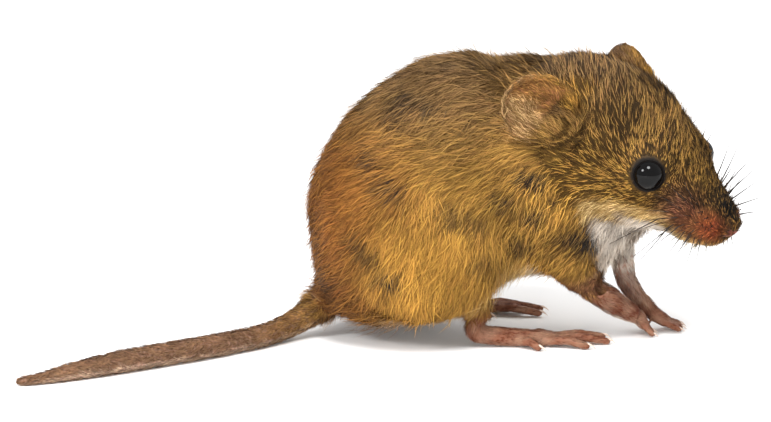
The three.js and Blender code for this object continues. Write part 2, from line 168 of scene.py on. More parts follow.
def ringsRound(line, one, two, sides):  # a ring of points round each point, from the ring's half axes
    turn = 2 * math.pi * np.arange(sides)[:, None] / sides
    return (line[:, None] + one[:, None] * np.cos(turn) + two[:, None] * np.sin(turn)).reshape(-1, 3)


def wallFaces(rows, sides, closed):  # four-sided faces from each ring of points to the next
    a, b = np.meshgrid(np.arange(rows if closed else rows - 1), np.arange(sides), indexing="ij")
    c, d = (a + 1) % rows, (b + 1) % sides
    return np.stack([a * sides + b, a * sides + d, c * sides + d, c * sides + b], -1).reshape(-1, 4)


def ballPoints(centre, radius, turns=48, rings=24):
    turn = np.linspace(0, 2 * math.pi, turns, endpoint=False)
    lift = np.linspace(-math.pi / 2, math.pi / 2, rings + 1)[1:-1]
    circle = np.stack([np.cos(turn), np.sin(turn), 0 * turn], 1)
    points = np.concatenate(
        [circle * math.cos(n) + [0, 0, math.sin(n)] for n in lift] + [[[0, 0, -1], [0, 0, 1]]]
    )
    ring = np.arange(turns)
    after = (ring + 1) % turns
    faces = []
    for n in range(rings - 2):
        faces += band(ring + n * turns, after + n * turns, turns)
    last = (rings - 2) * turns
    bottom, top = len(points) - 2, len(points) - 1
    faces += [fan(after, ring, bottom), fan(ring + last, after + last, top)]
    return np.asarray(centre) + points * radius, np.concatenate(faces)


# The head's own frame: x to the nose, y to the animal's left, z to the crown, from a point between the ears

def middle(name):
    low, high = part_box(name)
    return np.array((low + high) / 2) / millimetre


eye = {"forward": 9.35, "up": 0.85, "radius": 1.5}
noseDip = math.radians(9.2)  # how far the nose lies below the head's x axis, seen from between the eyes
whiskerPad = (15.0, 2.4, -1.0)
eyeCentres = {side: middle("eye_" + side) for side in sign}
midEye = (eyeCentres["right"] + eyeCentres["left"]) / 2
headY = unit(eyeCentres["left"] - eyeCentres["right"])
toNose = middle("nose") - midEye
toNose = unit(toNose - headY * (toNose @ headY))
headX = toNose * math.cos(noseDip) + np.cross(toNose, headY) * math.sin(noseDip)
headZ = np.cross(headX, headY)
headAxes = np.stack([headX, headY, headZ])
headPlace = midEye - headX * eye["forward"] - headZ * eye["up"]


def alongHead(direction, side="left"):  # a direction of the head's frame, mirrored for the right side
    x, y, z = direction
    return np.array([x, y * sign[side], z]) @ headAxes


def onHead(point, side="left"):
    return headPlace + alongHead(point, side)


def headCoords(points):
    return (points - headPlace) @ headAxes.T


def twins(place, centre, radii, edge):  # the same blob on both sides of the head
    x, y, z = centre
    return np.max([blob(place, (x, s * y, z), radii, edge) for s in sign.values()], 0)


# Limbs and tail: the middle lines that hair, claws and scales follow

standing = np.array([0.335, 4.166, 0.0])  # where the plan's origin stands in the frame
bodyMiddle = standing[1]  # y of the animal's middle line
tailLine = standing + np.array([
    (-2.5, 0.6, 6.4), (-6.7, -1.6, 2.6), (-11.7, -6.0, 1.08), (-20.4, -12.5, 1.08),
    (-28.4, -17.5, 0.82), (-33.1, -19.5, 0.42),
])
limbLines = {
    "forearm_right": [(18.2, -4.8, 6.8), (23.9, -1.9, 2.0)],
    "forearm_left": [(22.6, 2.6, 9.2), (25.5, 0.8, 1.8)],
    "shank_right": [(8.9, -6.4, 5.6), (8.3, -6.0, 1.5)],
    "shank_left": [(3.6, 7.2, 5.6), (2.5, 6.9, 1.5)],
}
feet = {  # where each heel or wrist stands and, in degrees, which way the foot points
    "hind_foot_right": {"at": (8.4, -6.0), "heading": 7},
    "hind_foot_left": {"at": (2.6, 6.9), "heading": -3},
    "fore_foot_right": {"at": (24.0, -1.6), "heading": 8, "knuckle": 0.7, "tip": 1.5},
    "fore_foot_left": {"at": (25.6, 0.7), "heading": -4, "knuckle": 1.4, "tip": 2.8},
}


def onFoot(name, forward, outward, height):
    plan = feet[name]
    turn = math.radians(plan["heading"])
    out = outward * sign[name.split("_")[2]]
    x = plan["at"][0] + forward * math.cos(turn) - out * math.sin(turn)
    y = plan["at"][1] + forward * math.sin(turn) + out * math.cos(turn)
    return standing + np.array([x, y, height])


def runAlong(points, line):  # how far along a line each point lies, in millimetres
    segment = line[1:] - line[:-1]
    lengths = np.linalg.norm(segment, axis=1)
    offset = points[:, None] - line[None, :-1]
    share = np.clip(np.sum(offset * segment, 2) / lengths ** 2, 0, 1)
    nearest = np.argmin(np.linalg.norm(offset - share[..., None] * segment, axis=2), axis=1)
    before = np.concatenate([[0], np.cumsum(lengths)])[:-1]
    return before[nearest] + share[np.arange(len(points)), nearest] * lengths[nearest]


# The ears: thin dishes with a rolled rim and a fold inside

earPlan = {
    "right": {"root": (0.0, 7.3, 1.1), "along": (-0.85, 0.47, 0.2), "facing": (0.57, 0.8, 0.19)},
    "left": {"root": (-0.3, 6.5, -0.6), "along": (-0.96, 0.2, 0.1), "facing": (0.4, 0.9, 0.2)},
}
pinna = {"buried": 1.9, "length": 7.5, "width": 6.8, "rootShare": 0.8, "cup": 1.5, "thickness": 0.62,
         "rim": 0.22, "fold": 0.32, "foldAt": 0.52, "foldWidth": 0.13}  # the last two as shares of the radius


def earFrame(side):
    plan = earPlan[side]
    along = unit(alongHead(plan["along"], side))
    facing = alongHead(plan["facing"], side)
    facing = unit(facing - along * (facing @ along))
    return onHead(plan["root"], side), along, facing, np.cross(along, facing)


def earDish(side, turns=72, circles=20):
    root, along, facing, acrossEar = earFrame(side)
    start = root - along * pinna["buried"]
    angle = np.linspace(0, 2 * math.pi, turns, endpoint=False)[None, :]
    share = (np.arange(1, circles + 1) / circles)[:, None]
    reach = (1 + np.cos(angle)) / 2
    rootShare = pinna["rootShare"]
    width = pinna["width"] / 2 * (rootShare + (1 - rootShare) * np.minimum(1, 1.5 * reach))
    forward = pinna["length"] / 2 * (1 + np.cos(angle) * share)
    sideways = width * np.sin(angle) * share
    deep = pinna["cup"] * share ** 2 + pinna["rim"] * smooth(share, 0.84, 0.97)
    fold = pinna["fold"] * np.exp(-((share - pinna["foldAt"]) / pinna["foldWidth"]) ** 2)
    deep = deep + fold * smooth(np.cos(angle - 0.6), -0.2, 0.9)
    mid = start + forward[..., None] * along + sideways[..., None] * acrossEar + deep[..., None] * facing
    half = pinna["thickness"] / 2 * (1 - 0.75 * smooth(share, 0.88, 1.02)) + 0 * angle
    back = (mid - half[..., None] * facing).reshape(-1, 3)
    front = (mid + half[..., None] * facing).reshape(-1, 3)
    centre = start + along * pinna["length"] / 2
    points = np.concatenate([back, front, [centre - facing * half[0, 0], centre + facing * half[0, 0]]])
    count = turns * circles
    ring = np.arange(turns)
    after = (ring + 1) % turns
    faces = []
    for n in range(circles - 1):
        a, b = ring + n * turns, after + n * turns
        faces += band(a, b, turns)
        faces += [face[:, [0, 2, 1]] for face in band(a + count, b + count, turns)]
    last = (circles - 1) * turns
    faces += band(ring + last, after + last, count)
    faces += [fan(after, ring, 2 * count), fan(ring + count, after + count, 2 * count + 1)]
    return points, np.concatenate(faces)


def earPlace(points, side):  # up from the root, out to the upper edge (both 0 to 1) and off the dish
    root, along, facing, acrossEar = earFrame(side)
    place = points - (root - along * pinna["buried"])
    upper = -sign[side] * (place @ acrossEar) / (pinna["width"] / 2)
    return (place @ along) / pinna["length"], upper, place @ facing


# The skin: every node of flesh swollen until they meet, joined as one form, smoothed and drawn in by the
# depth of the coat

skinForm = {"swell": 0.2, "voxel": 0.15, "passes": 16, "triangles": 170000, "coarse": 0.2, "fine": 0.5}


def weldedNode(name):
    points, triangles = arraysOf(nodes[name].data)
    points, place = np.unique(np.round(points / millimetre, 4), axis=0, return_inverse=True)
    return points, place.reshape(-1)[triangles]


def largestBody(points, triangles):  # drops the loose bubbles that joining can leave inside
    label = np.arange(len(points))
    pairs = np.concatenate([triangles[:, [0, 1]], triangles[:, [1, 2]]])
    before = None
    while before is None or np.any(before != label):
        before = label.copy()
        np.minimum.at(label, pairs[:, 0], label[pairs[:, 1]])
        np.minimum.at(label, pairs[:, 1], label[pairs[:, 0]])
        label = label[label]
    kept = label == np.bincount(label).argmax()
    renumbered = np.cumsum(kept) - 1
    return points[kept], renumbered[triangles[kept[triangles[:, 0]]]]


def fleshForm():
    parts = []
    for name in fleshNodes:
        if name.startswith("ear_"):
            parts.append(earDish(name[4:]))
            continue
        points, triangles = weldedNode(name)
        parts.append((points + normalsOf(points, triangles) * skinForm["swell"], triangles))
    for side in sign:  # flesh behind each eye
        parts.append(ballPoints(eyeCentres[side], eye["radius"] + skinForm["swell"] + 0.1))
    form = makeObject("form", *joined(parts), scale=1)
    remesh = form.modifiers.new("join", "REMESH")
    remesh.mode = "VOXEL"
    remesh.voxel_size = skinForm["voxel"]
    points, triangles = largestBody(*modified(form))
    return relaxed(points, averager(len(points), triangles), skinForm["passes"], 0.55, 0.57), triangles


def thinned(points, triangles, keep):  # fewer triangles where keep is 0, all of them where it is 1
    form = makeObject("form", points, triangles, scale=1)
    group = form.vertex_groups.new(name="thin")
    for level in range(11):
        chosen = np.nonzero(np.round(keep * 10).astype(int) == level)[0]
        group.add(chosen.tolist(), level / 10, "REPLACE")
    reduce = form.modifiers.new("thin", "DECIMATE")
    reduce.ratio = skinForm["triangles"] / len(triangles)
    reduce.vertex_group = "thin"
    reduce.invert_vertex_group = True
    reduce.vertex_group_factor = 1.0
    return modified(form)


fleshNodes = sorted(name for name in nodes if not name.startswith("eye_"))
nodeParts = [weldedNode(name) for name in fleshNodes]
allPoints, allTriangles = joined(nodeParts)
nodeOfTriangle = np.repeat(np.arange(len(fleshNodes)), [len(f) for p, f in nodeParts])
nodeTree = BVHTree.FromPolygons(allPoints.tolist(), allTriangles.tolist())
formPoints, formTriangles = fleshForm()
print("flesh joined,", len(formTriangles), "triangles")
fineZones = (
    blob(formPoints, onHead((12.5, 0, -0.5)), (7.5, 7.5, 7.5), 0.3),
    *(blob(formPoints, earFrame(side)[0] + earFrame(side)[1] * 1.8, (6, 6, 6), 0.25) for side in sign),
    1 - smooth(formPoints[:, 2], 2.2, 4.0),
    1 - smooth(formPoints[:, 0], -8, -5),
    smooth(formPoints[:, 0], 17.5, 19) * (1 - smooth(formPoints[:, 2], 7, 9)),
)
keepShare = skinForm["coarse"] + (skinForm["fine"] - skinForm["coarse"]) * np.max(fineZones, axis=0)
skinPoints, skinTriangles = thinned(formPoints, formTriangles, keepShare)
average = averager(len(skinPoints), skinTriangles)
print("skin thinned,", len(skinTriangles), "triangles")


# What grows where. For each kind of node: how deep the coat is, how long and wide a strand is and which way
# it lies. A real hair is about 0.02 mm wide, too fine to show, so a strand is drawn 2 to 5 times as wide.

growth = {
    "trunk": {"depth": 1.3, "length": 3.1, "width": 0.1, "lay": (-1.0, 0.0, -0.6)},
    "neck": {"depth": 1.2, "length": 2.8, "width": 0.1, "lay": (-1.0, 0.0, -0.35)},
    "head": {"depth": 0.8, "length": 2.2, "width": 0.09, "lay": None},
    "thigh": {"depth": 1.25, "length": 2.9, "width": 0.1, "lay": (-0.45, 0.0, -1.0)},
    "upper_arm": {"depth": 0.95, "length": 2.3, "width": 0.1, "lay": (-0.4, 0.0, -1.0)},
    "forearm": {"depth": 0.12, "length": 0.95, "width": 0.045, "lay": "limb"},
    "shank": {"depth": 0.2, "length": 1.0, "width": 0.05, "lay": "limb"},
    "hind_foot": {"depth": 0.03, "length": 0.55, "width": 0.036, "lay": "foot"},
    "fore_foot": {"depth": 0.03, "length": 0.45, "width": 0.036, "lay": "foot"},
    "tail": {"depth": 0.13, "length": 0.85, "width": 0.06, "lay": "tail"},
    "ear": {"depth": 0.02, "length": 1.1, "width": 0.055, "lay": "ear"},
    "nose": {"depth": 0.0, "length": 0.3, "width": 0.04, "lay": None},
}
kinds = list(growth)


def kindOf(name):
    return next(kind for kind in kinds if name.startswith(kind))


owner = nodeOfTriangle[[nodeTree.find_nearest(p)[2] for p in skinPoints.tolist()]]  # the nearest node
for side in sign:  # the floor of each ear belongs to the ear, whichever solid it lies nearest
    up, upper, deep = earPlace(skinPoints, side)
    earFloor = ((up - 0.5) / 0.47) ** 2 + (upper / 0.93) ** 2 < 1
    owner[earFloor & (up > 0.14) & (deep > -0.35) & (deep < 1.6)] = fleshNodes.index("ear_" + side)
kind = np.array([kinds.index(kindOf(name)) for name in fleshNodes])[owner]


def isKind(*names):
    return np.isin(kind, [kinds.index(name) for name in names])


def spread(values, times):  # lets a value run from each vertex into its neighbours
    for n in range(times):
        values = average(values)
    return values


def perVertex(what):
    return np.array([growth[name][what] for name in kinds])[kind]


# fur thins out along the tail and the legs: where it is still full, and where it has become short
furryEnds = {"tail": (3.0, 9.0), "forearm_right": (0.2, 2.4), "forearm_left": (0.3, 3.2),
             "shank_right": (0.3, 2.3), "shank_left": (0.6, 3.0)}
furryShare = np.zeros(len(skinPoints))
tailDistance = np.zeros(len(skinPoints))
for number, name in enumerate(fleshNodes):
    here = owner == number
    if name.startswith("tail"):
        tailDistance[here] = runAlong(skinPoints[here], tailLine)
        furryShare[here] = 1 - smooth(tailDistance[here], *furryEnds["tail"])
    elif name in furryEnds:
        line = standing + np.array(limbLines[name])
        furryShare[here] = 1 - smooth(runAlong(skinPoints[here], line), *furryEnds[name])

surfaceNormals = normalsOf(skinPoints, skinTriangles)
inHead = headCoords(skinPoints)
earFoot = np.zeros(len(skinPoints))  # the foot of each ear, hidden by fur like the head's
for side in sign:
    up = earPlace(skinPoints, side)[0]
    earFoot = np.maximum(earFoot, smooth(up, 0.36, 0.2) * (np.sign(inHead[:, 1]) == sign[side]))
earFoot *= isKind("ear")
onFace = isKind("head", "nose")
toEye = np.min([np.linalg.norm(skinPoints - eyeCentres[side], axis=1) for side in sign], axis=0)
armEnd = isKind("upper_arm") * smooth(skinPoints[:, 2], 8.0, 5.6)  # the upper arm just above the elbow
faceDepth = 0.85 - 0.2 * smooth(inHead[:, 0], 1, 8) - 0.45 * smooth(inHead[:, 0], 8, 14.5)
fleshDepth = np.where(onFace, faceDepth, perVertex("depth"))
fleshDepth = np.maximum(fleshDepth, furryShare * np.where(isKind("tail"), 0.45, 0.7))
fleshDepth = np.where(isKind("upper_arm"), growth["upper_arm"]["depth"] - 0.6 * armEnd, fleshDepth)
fleshDepth = spread(fleshDepth, 25)
fleshDepth *= smooth(toEye, eye["radius"] + 0.1, eye["radius"] + 2.0) * 0.8 + 0.2
fleshDepth *= smooth(inHead[:, 0], 17.4, 15.6)
elbowGap = {"at": (21.4, -1.9, 7.4), "radii": (1.9, 2.8, 2.2), "depth": 1.25}  # in front of the near elbow
inGap = blob(skinPoints, elbowGap["at"], elbowGap["radii"])
inGap *= isKind("upper_arm") + 0.5 * isKind("forearm")
earShare = spread(isKind("ear").astype(float), 3)
drawnIn = (skinForm["swell"] + fleshDepth) * (1 - earShare) + elbowGap["depth"] * spread(inGap, 12)
skinPoints = skinPoints - unit(spread(surfaceNormals, 4)) * drawnIn[:, None]
skinPoints = relaxed(skinPoints, average, 6, 0.5, 0.52)
surfaceNormals = normalsOf(skinPoints, skinTriangles)
inHead = headCoords(skinPoints)
print("skin drawn in by the coat's depth")


# Which way the hair lies, at each vertex

def tailLay(points):
    middles = (tailLine[1:] + tailLine[:-1]) / 2
    nearest = np.argmin(np.linalg.norm(points[:, None] - middles[None], axis=2), axis=1)
    return unit(tailLine[1:] - tailLine[:-1])[nearest]


def earLay(points, side):  # out from the hollow over the ear, and along the lower half
    root, along, facing, acrossEar = earFrame(side)
    up, upper, deep = earPlace(points, side)
    hollow = root - along * (pinna["buried"] - 0.24 * pinna["length"]) - sign[side] * acrossEar * 0.9
    low = smooth(upper, 0.05, -0.35)[:, None]
    way = unit(points - hollow) * (1 - low) + unit(along + 0.15 * sign[side] * acrossEar) * low
    foot = smooth(up, 0.36, 0.2)[:, None]
    fall = 0.7 * smooth(upper, 0.1, 0.7)[:, None]
    return unit(way * (1 - foot) + (along + fall * sign[side] * acrossEar) * foot)


def headLay(points):  # back from the nose, up over the crown and down along the cheek
    place = headCoords(points)
    way = unit(place - np.array([18.5, 0, -0.6]))
    high = smooth(place[:, 2], -1.5, 2.5) * smooth(place[:, 0], 16, 11)
    low = smooth(place[:, 2], -1.5, -3.5) * smooth(place[:, 0], 15, 11)
    way += np.stack([0 * high, -0.35 * np.tanh(place[:, 1] / 2) * high, 0.85 * high - 0.3 * low], 1)
    return unit(way @ headAxes)


def layOf(name, points):
    lay = growth[kindOf(name)]["lay"]
    if lay is None:
        return headLay(points)
    if lay == "tail":
        return tailLay(points)
    if lay == "ear":
        return earLay(points, name[4:])
    if lay == "limb":
        start, end = (np.array(p) for p in limbLines[name])
        lay = end - start
    if name in feet:
        turn = math.radians(feet[name]["heading"])
        lay = [math.cos(turn), math.sin(turn), 0.0]
    return np.tile(unit(lay), (len(points), 1))


lay = np.zeros_like(skinPoints)
for number, name in enumerate(fleshNodes):
    here = owner == number
    if here.any():
        lay[here] = layOf(name, skinPoints[here])
for side in sign:  # hair parts round the eye and fans out from the whisker pad
    away = skinPoints - eyeCentres[side]
    reach = np.linalg.norm(away, axis=1)
    lay += unit(away) * (1.3 * np.exp(-((reach - eye["radius"]) / 0.9) ** 2))[:, None]
    away = skinPoints - onHead(whiskerPad, side)
    lay += unit(away) * (1.5 * np.exp(-(np.linalg.norm(away, axis=1) / 2.6) ** 2))[:, None]
lay = across(lay, surfaceNormals)
firmLay = lay.copy()
for n in range(24):
    lay = across(average(lay) + 0.15 * firmLay, surfaceNormals)
print("lay of the hair settled")


# Markings, worked out once on the skin, so that the coat over each spot carries the same ones

def patchField(times):  # an even random field whose patches grow with the times it is averaged
    field = spread(random.standard_normal((len(skinPoints), 2)), times)
    return field / field.std(axis=0)


def flanks(points, centre, radii, edge, back=0.0):  # a blob on the right flank and its twin on the left
    x, y, z = centre
    spots = [(x, y, z), (x - back, 2 * bodyMiddle - y, z)]
    return np.max([blob(points, spot, radii, edge) for spot in spots], 0)


# dark partings where the slate roots show: place and size in millimetres
partings = [((20.1, -4.2, 11.6), 1.6), ((18.4, -4.9, 12.0), 1.0), ((1.2, -6.8, 9.2), 0.8),
            ((-4.4, -1.6, 6.6), 0.9), ((14.6, -5.2, 17.4), 0.85), ((16.4, -5.6, 15.6), 0.5),
            ((14.5, -5.4, 14.3), 0.9), ((3.6, -1.9, 24.2), 0.8), ((5.4, -3.1, 24.0), 0.6),
            ((0.8, -4.4, 18.9), 0.8), ((2.0, -5.6, 17.0), 0.7), ((2.4, -2.6, 23.0), 0.6),
            ((12.2, -5.9, 15.6), 0.7), ((13.6, -5.9, 11.2), 0.9)]


def markingsOn(points, normals, place):
    x, y, z = points.T
    hx, hy, hz = place.T
    ears, arm, forearm = isKind("ear"), isKind("upper_arm"), isKind("forearm")
    head = isKind("head", "nose", "ear")
    marks = {}
    marks["greyBack"] = smooth(z, 16.5, 25.0) * (1 - 0.5 * smooth(hx, 0, 6) * head)
    marks["greyBack"] *= 1 - 0.35 * isKind("neck")
    marks["rump"] = smooth(x, 8.0, -3.0) * smooth(z, 25, 18)

    # white and pale: belly, throat, chin and chest, the front of the upper arms, the inside of the forearms
    belly = smooth(-normals[:, 2], 0.72, 0.95) * smooth(z, 9, 5) * smooth(x, 1, 5)
    throat = smooth(-hz, 4.5, 5.2) * smooth(hx, 4.5, 6.8) * smooth(z, 5.2, 6.5) * ~arm
    chin = smooth(-hz, 3.0, 3.8) * smooth(hx, 8.5, 10.5) * (1 - smooth(hx, 13.0, 15.0)) * head
    chest = smooth(x, 18.6, 20.2) * smooth(z, 15.5, 13.0) * smooth(z, 6.0, 7.5) * ~head
    # the pale fades out low on the chest: painted shade under it
    chest = chest * smooth(np.abs(y - bodyMiddle), 8.2, 6.6) * (1 - 0.6 * smooth(z, 12, 8.5))
    body = np.maximum(belly, chest) * ~isKind("tail", "thigh", "upper_arm")
    armFront = arm * smooth(x, 19.4, 20.8) * smooth(z, 6.8, 8.2)
    armInside = 0.4 * forearm * smooth(normals[:, 1] * np.sign(bodyMiddle - y), 0.0, 0.8) * smooth(z, 2, 6)
    marks["pale"] = np.max([body, throat, chin, armFront, armInside], 0) * ~ears

    # rust and bare skin on the muzzle
    rustEdge = twins(place, (15.4, 2.8, -1.3), (2.0, 1.5, 1.4), 0.75)
    marks["rust"] = np.maximum(twins(place, (16.8, 1.9, -0.6), (1.6, 1.6, 1.05), 0.8), 0.4 * rustEdge)
    padSkin = twins(place, (13.9, 3.2, -0.3), (2.4, 1.6, 1.9), 0.8)
    marks["bare"] = np.maximum(0.85 * padSkin, 0.7 * armEnd)

    # slate: the partings, the spot by the ear, the nose's bridge and the brow; the rump is also darkened
    # towards its low end
    dark = [flanks(points, spot, (size * 1.3, 3.5, size * 0.8), 0.7) for spot, size in partings]
    dark.append(twins(place, (9.6, 4.3, 1.9), (0.7, 0.7, 0.42), 0.7))
    dark.append(0.9 * blob(place, (16.3, 0, 1.0), (2.9, 1.8, 1.5), 0.7))
    dark.append(0.55 * smooth(x, 2.0, -4.0) * smooth(z, 12, 5) * ~isKind("tail"))
    dark.append(head * smooth(hz, -0.5, 2.5) * (0.04 + 0.36 * smooth(hx, 3, 6.5)))
    marks["slate"] = np.max(dark, 0) * ~ears

    # gold: the thigh, the shoulder's ruff, the tuft before each ear and the tail's root
    thighGold = flanks(points, (4.4, -7.2, 9.0), (5.2, 4.5, 5.4), 0.65, 2.4) * ~head
    ruff = flanks(points, (16.6, -5.7, 16.0), (2.8, 3.0, 2.2), 0.65) * ~ears
    earTuft = twins(place, (0.3, 5.4, 2.9), (1.5, 1.6, 1.2), 0.4) * ~ears
    tailGold = 0.85 * isKind("tail") * smooth(tailDistance, 20, 6)
    marks["gold"] = np.max([thighGold, 0.7 * ruff, 0.9 * earTuft, tailGold], 0)

    # cream: the low cheek, the thigh's front, the low flank and under the muzzle
    lowCheek = smooth(0.3 * (hx - 8) - hz, 2.4, 3.4) * (1 - marks["pale"]) * head
    lowCheek = lowCheek * smooth(hx, 14.2, 12.5) * smooth(hx, 5.4, 7.4)
    thighFront = 0.8 * isKind("thigh") * smooth(normals[:, 0], 0.55, 0.95) * smooth(z, 10, 5)
    lowFlank = 0.7 * isKind("trunk") * smooth(-normals[:, 2], 0.2, 0.7) * smooth(z, 11, 7) * smooth(x, 4, 8)
    muzzleUnder = 0.9 * head * smooth(hx, 12.5, 14.0) * smooth(-hz, 1.5, 2.4)
    marks["cream"] = np.max([lowCheek, thighFront, lowFlank, muzzleUnder], 0)

    # on each ear: golden upper edge and foot, cream lower half and rim, and painted shade in the hollow and
    # along a narrow cleft at the root
    marks["hollow"] = np.zeros(len(points))
    marks["earBack"] = np.zeros(len(points))
    for side in sign:
        up, upper, deep = earPlace(points, side)
        ownHalf = np.sign(hy) == sign[side]
        mine = ears & ownHalf
        back = smooth(-(normals @ earFrame(side)[2]), -0.2, 0.3) * mine
        rim = 0.5 * smooth(np.hypot((up - 0.5) / 0.5, upper), 0.92, 0.99)
        lower = 0.8 * smooth(upper, 0.1, -0.3) * (1 - back)
        golden = np.maximum(0.7 * smooth(upper, 0.62, 0.95), smooth(upper, 0.3, 0.6) * earFoot) * mine
        onEar = np.stack([up, upper, deep], 1)
        # both marks below are painted shade: in the ear's hollow and in the cleft at its root
        pitShade = 0.6 * blob(onEar, (0.36, 0.12, 0.3), (0.07, 0.2, 3.0), 0.9) * (np.abs(hy) > 4) * ownHalf
        slitShade = blob(onEar, (0.18, 0.27, 0.3), (0.07, 0.2, 3.0), 0.7) * mine
        found = {"gold": golden, "cream": np.maximum(lower, rim) * (1 - earFoot) * mine,
                 "hollow": pitShade * (1 - back), "slate": slitShade, "earBack": back}
        for name, mark in found.items():
            marks[name] = np.maximum(marks[name], mark)

    marks["ear"] = spread(ears * (1 - earFoot), 4)
    marks["nose"] = smooth(hx, 17.3, 17.7) * smooth(hz, 0.1, -0.4) * smooth(np.abs(hy), 1.2, 0.7) * head
    marks["leg"] = spread(isKind("hind_foot", "fore_foot", "forearm", "shank") * (1 - furryShare), 6)
    marks["tail"] = spread(isKind("tail") * (1 - 0.55 * smooth(tailDistance, 18, 4)), 14)
    marks["low"] = smooth(-normals[:, 2], -0.1, 0.7)
    marks["lid"] = smooth(toEye, 2.1, 1.85)
    marks["fleck"] = smooth(patches[:, 0], 1.4, 2.1) * smooth(z, 4, 8) * (1 - marks["pale"]) * ~head
    marks["bright"] = smooth(patches[:, 1], -1.6, 1.8)
    return {name: np.asarray(mark, float) for name, mark in marks.items()}


patches = patchField(9)
marks = markingsOn(skinPoints, surfaceNormals, inHead)
markGroups = {  # marks go to the meshes three at a time
    "backRumpGold": ("greyBack", "rump", "gold"),
    "paleRustSlate": ("pale", "rust", "slate"),
    "creamBareLid": ("cream", "bare", "lid"),
    "earNoseLeg": ("ear", "nose", "leg"),
    "earBackFleckBright": ("earBack", "fleck", "bright"),
    "tailLowHollowShade": ("tail", "low", "hollow"),
}
markRows = {group: np.stack([marks[n] for n in names], 1) for group, names in markGroups.items()}
print("markings laid out")


# How the hair grows over each vertex

faceLength = 2.0 * (1 - 0.38 * smooth(inHead[:, 0], 2, 9)) * (1 - 0.45 * smooth(inHead[:, 0], 9, 15.5))
hairLength = np.where(onFace, faceLength, perVertex("length"))
hairLength = np.where(marks["pale"] > 0.5, np.minimum(hairLength, 2.3), hairLength)
hairLength = np.maximum(hairLength, furryShare * 2.3)
hairLength *= (1 - 0.5 * armEnd) * (1 - 0.6 * inGap)
hairLength = np.where(isKind("ear") & (marks["cream"] > 0.5), 2.3, hairLength)
hairLength *= 0.45 + 0.55 * smooth(toEye, eye["radius"] + 0.3, eye["radius"] + 2.5)
hairLength = spread(np.maximum(hairLength, 1.9 * earFoot), 8)
hairWidth = spread(np.where(onFace, 0.086 - 0.02 * smooth(inHead[:, 0], 4, 14), perVertex("width")), 6)
hairWidth = np.max([hairWidth, 0.11 * furryShare, 0.08 * earFoot], 0)
coatDepth = spread(fleshDepth * (1 - 0.5 * inGap), 3) * (1 - earShare) + 0.16 * earShare
coatDepth = np.max([coatDepth, 0.3 * smooth(inHead[:, 0], 12, 14.5) * onFace, 0.65 * earFoot], 0)
bristle = smooth(inHead[:, 0], 11.5, 14.5) * onFace  # dark hairs that stand out round the muzzle
hairCloseness = 1 - 0.93 * smooth(toEye, eye["radius"] + 0.55, eye["radius"] + 0.2)
hairCloseness *= 1 - 0.9 * marks["nose"]
hairCloseness += 2.5 * twins(inHead, whiskerPad, (1.1, 1.1, 1.1), 0.7)  # closer where the hair parts
hairCloseness *= (1 - 0.55 * marks["bare"]) * (1 - 0.5 * marks["hollow"]) * (1 + 0.8 * earFoot)
drift = np.concatenate([patchField(40), patchField(5)], axis=1)

corners = skinPoints[skinTriangles]
triangleEdges = corners[:, 1:] - corners[:, :1]
triangleArea = np.linalg.norm(np.cross(triangleEdges[:, 0], triangleEdges[:, 1]), axis=1) / 2
triangleLay = unit(lay[skinTriangles].mean(axis=1))
triangleNormal = unit(surfaceNormals[skinTriangles].mean(axis=1))
triangleCloseness = hairCloseness[skinTriangles].mean(axis=1)
triangleKind = kind[skinTriangles[:, 0]]
triangleHead = inHead[skinTriangles].mean(axis=1)
triangleMiddle = corners.mean(axis=1)
skinTree = BVHTree.FromPolygons(skinPoints.tolist(), skinTriangles.tolist())


# The coat: tufts of thin strands, each strand a narrow tapering blade

steps = 2  # joints along a strand
bladeRows = 2 * steps + 1  # points in a blade: two at each joint and one at the tip
bladeShare = 0.85  # how much of a strand's width its blade has
tuftPatch = 0.003  # width of a tuft's patch on the unwrap
coatHabit = {
    "inTuft": 6,  # strands in a tuft
    "reach": 0.55,  # how far a tuft's roots spread, in millimetres
    "gather": 0.12,  # how far its tips draw together
    "unruly": 0.22,  # how much the tufts turn aside, in radians
    "fan": 0.2,  # how much the strands in a tuft do
    "flatness": 1.6,  # how soon a strand lies down
    "stand": 1.0,  # how far the coat stands off
    "longer": 1.0,  # how much the hair is lengthened
    "cover": 1.4,  # how much of the coat the bright upper strands hide
    "shade": 0.8,  # how bright the dark under layer is, partly slate underfur and partly painted shade
    "shine": 1.1,  # how bright the upper strands can be: a painted highlight
    "strays": 0.15,  # the share of stray hairs
    "wild": 1.6,  # how far those stand off
    "soft": 0.9,  # how evenly the strands take the light
    "overEars": False,  # whether the hair may lie over an ear
    "direction": None,  # a function of the roots, for hair that stands out straight through the air
}


def unwrapOf(chosen):  # a flat plan of the chosen triangles, three corners each
    used, place = np.unique(skinTriangles[chosen], return_inverse=True)
    patch = makeObject("patch", skinPoints[used], place.reshape(-1, 3))
    patch.data.uv_layers.new(name="plan")
    bpy.context.view_layer.objects.active = patch
    patch.select_set(True)
    bpy.ops.object.mode_set(mode="EDIT")
    bpy.ops.mesh.select_all(action="SELECT")
    bpy.ops.uv.smart_project(angle_limit=math.radians(66), island_margin=0.004, scale_to_bounds=True)
    bpy.ops.object.mode_set(mode="OBJECT")
    flat = np.empty(len(chosen) * 6, np.float32)
    patch.data.uv_layers["plan"].data.foreach_get("uv", flat)
    bpy.data.objects.remove(patch)
    return flat.reshape(-1, 3, 2)


def turned(rows, normals, angle):  # rows turned about the normals
    c, s = np.cos(angle)[:, None], np.sin(angle)[:, None]
    return rows * c + np.cross(normals, rows) * s


def tuftLines(at, normal, direction, length, follows):  # a line from each root
    lines, normals, directions = [at], [normal], [direction]
    for n in range(steps):
        at = at + direction * (length / steps)[:, None]
        if follows:
            found = [skinTree.find_nearest(p) for p in at.tolist()]
            at = np.array([f[0] for f in found])
            hit = np.array([f[2] for f in found])
            normal = triangleNormal[hit]
            direction = across(0.35 * triangleLay[hit] + 0.65 * direction, normal)
        lines.append(at)
        normals.append(normal)
        directions.append(direction)
    return np.stack(lines, 1), np.stack(normals, 1), np.stack(directions, 1)


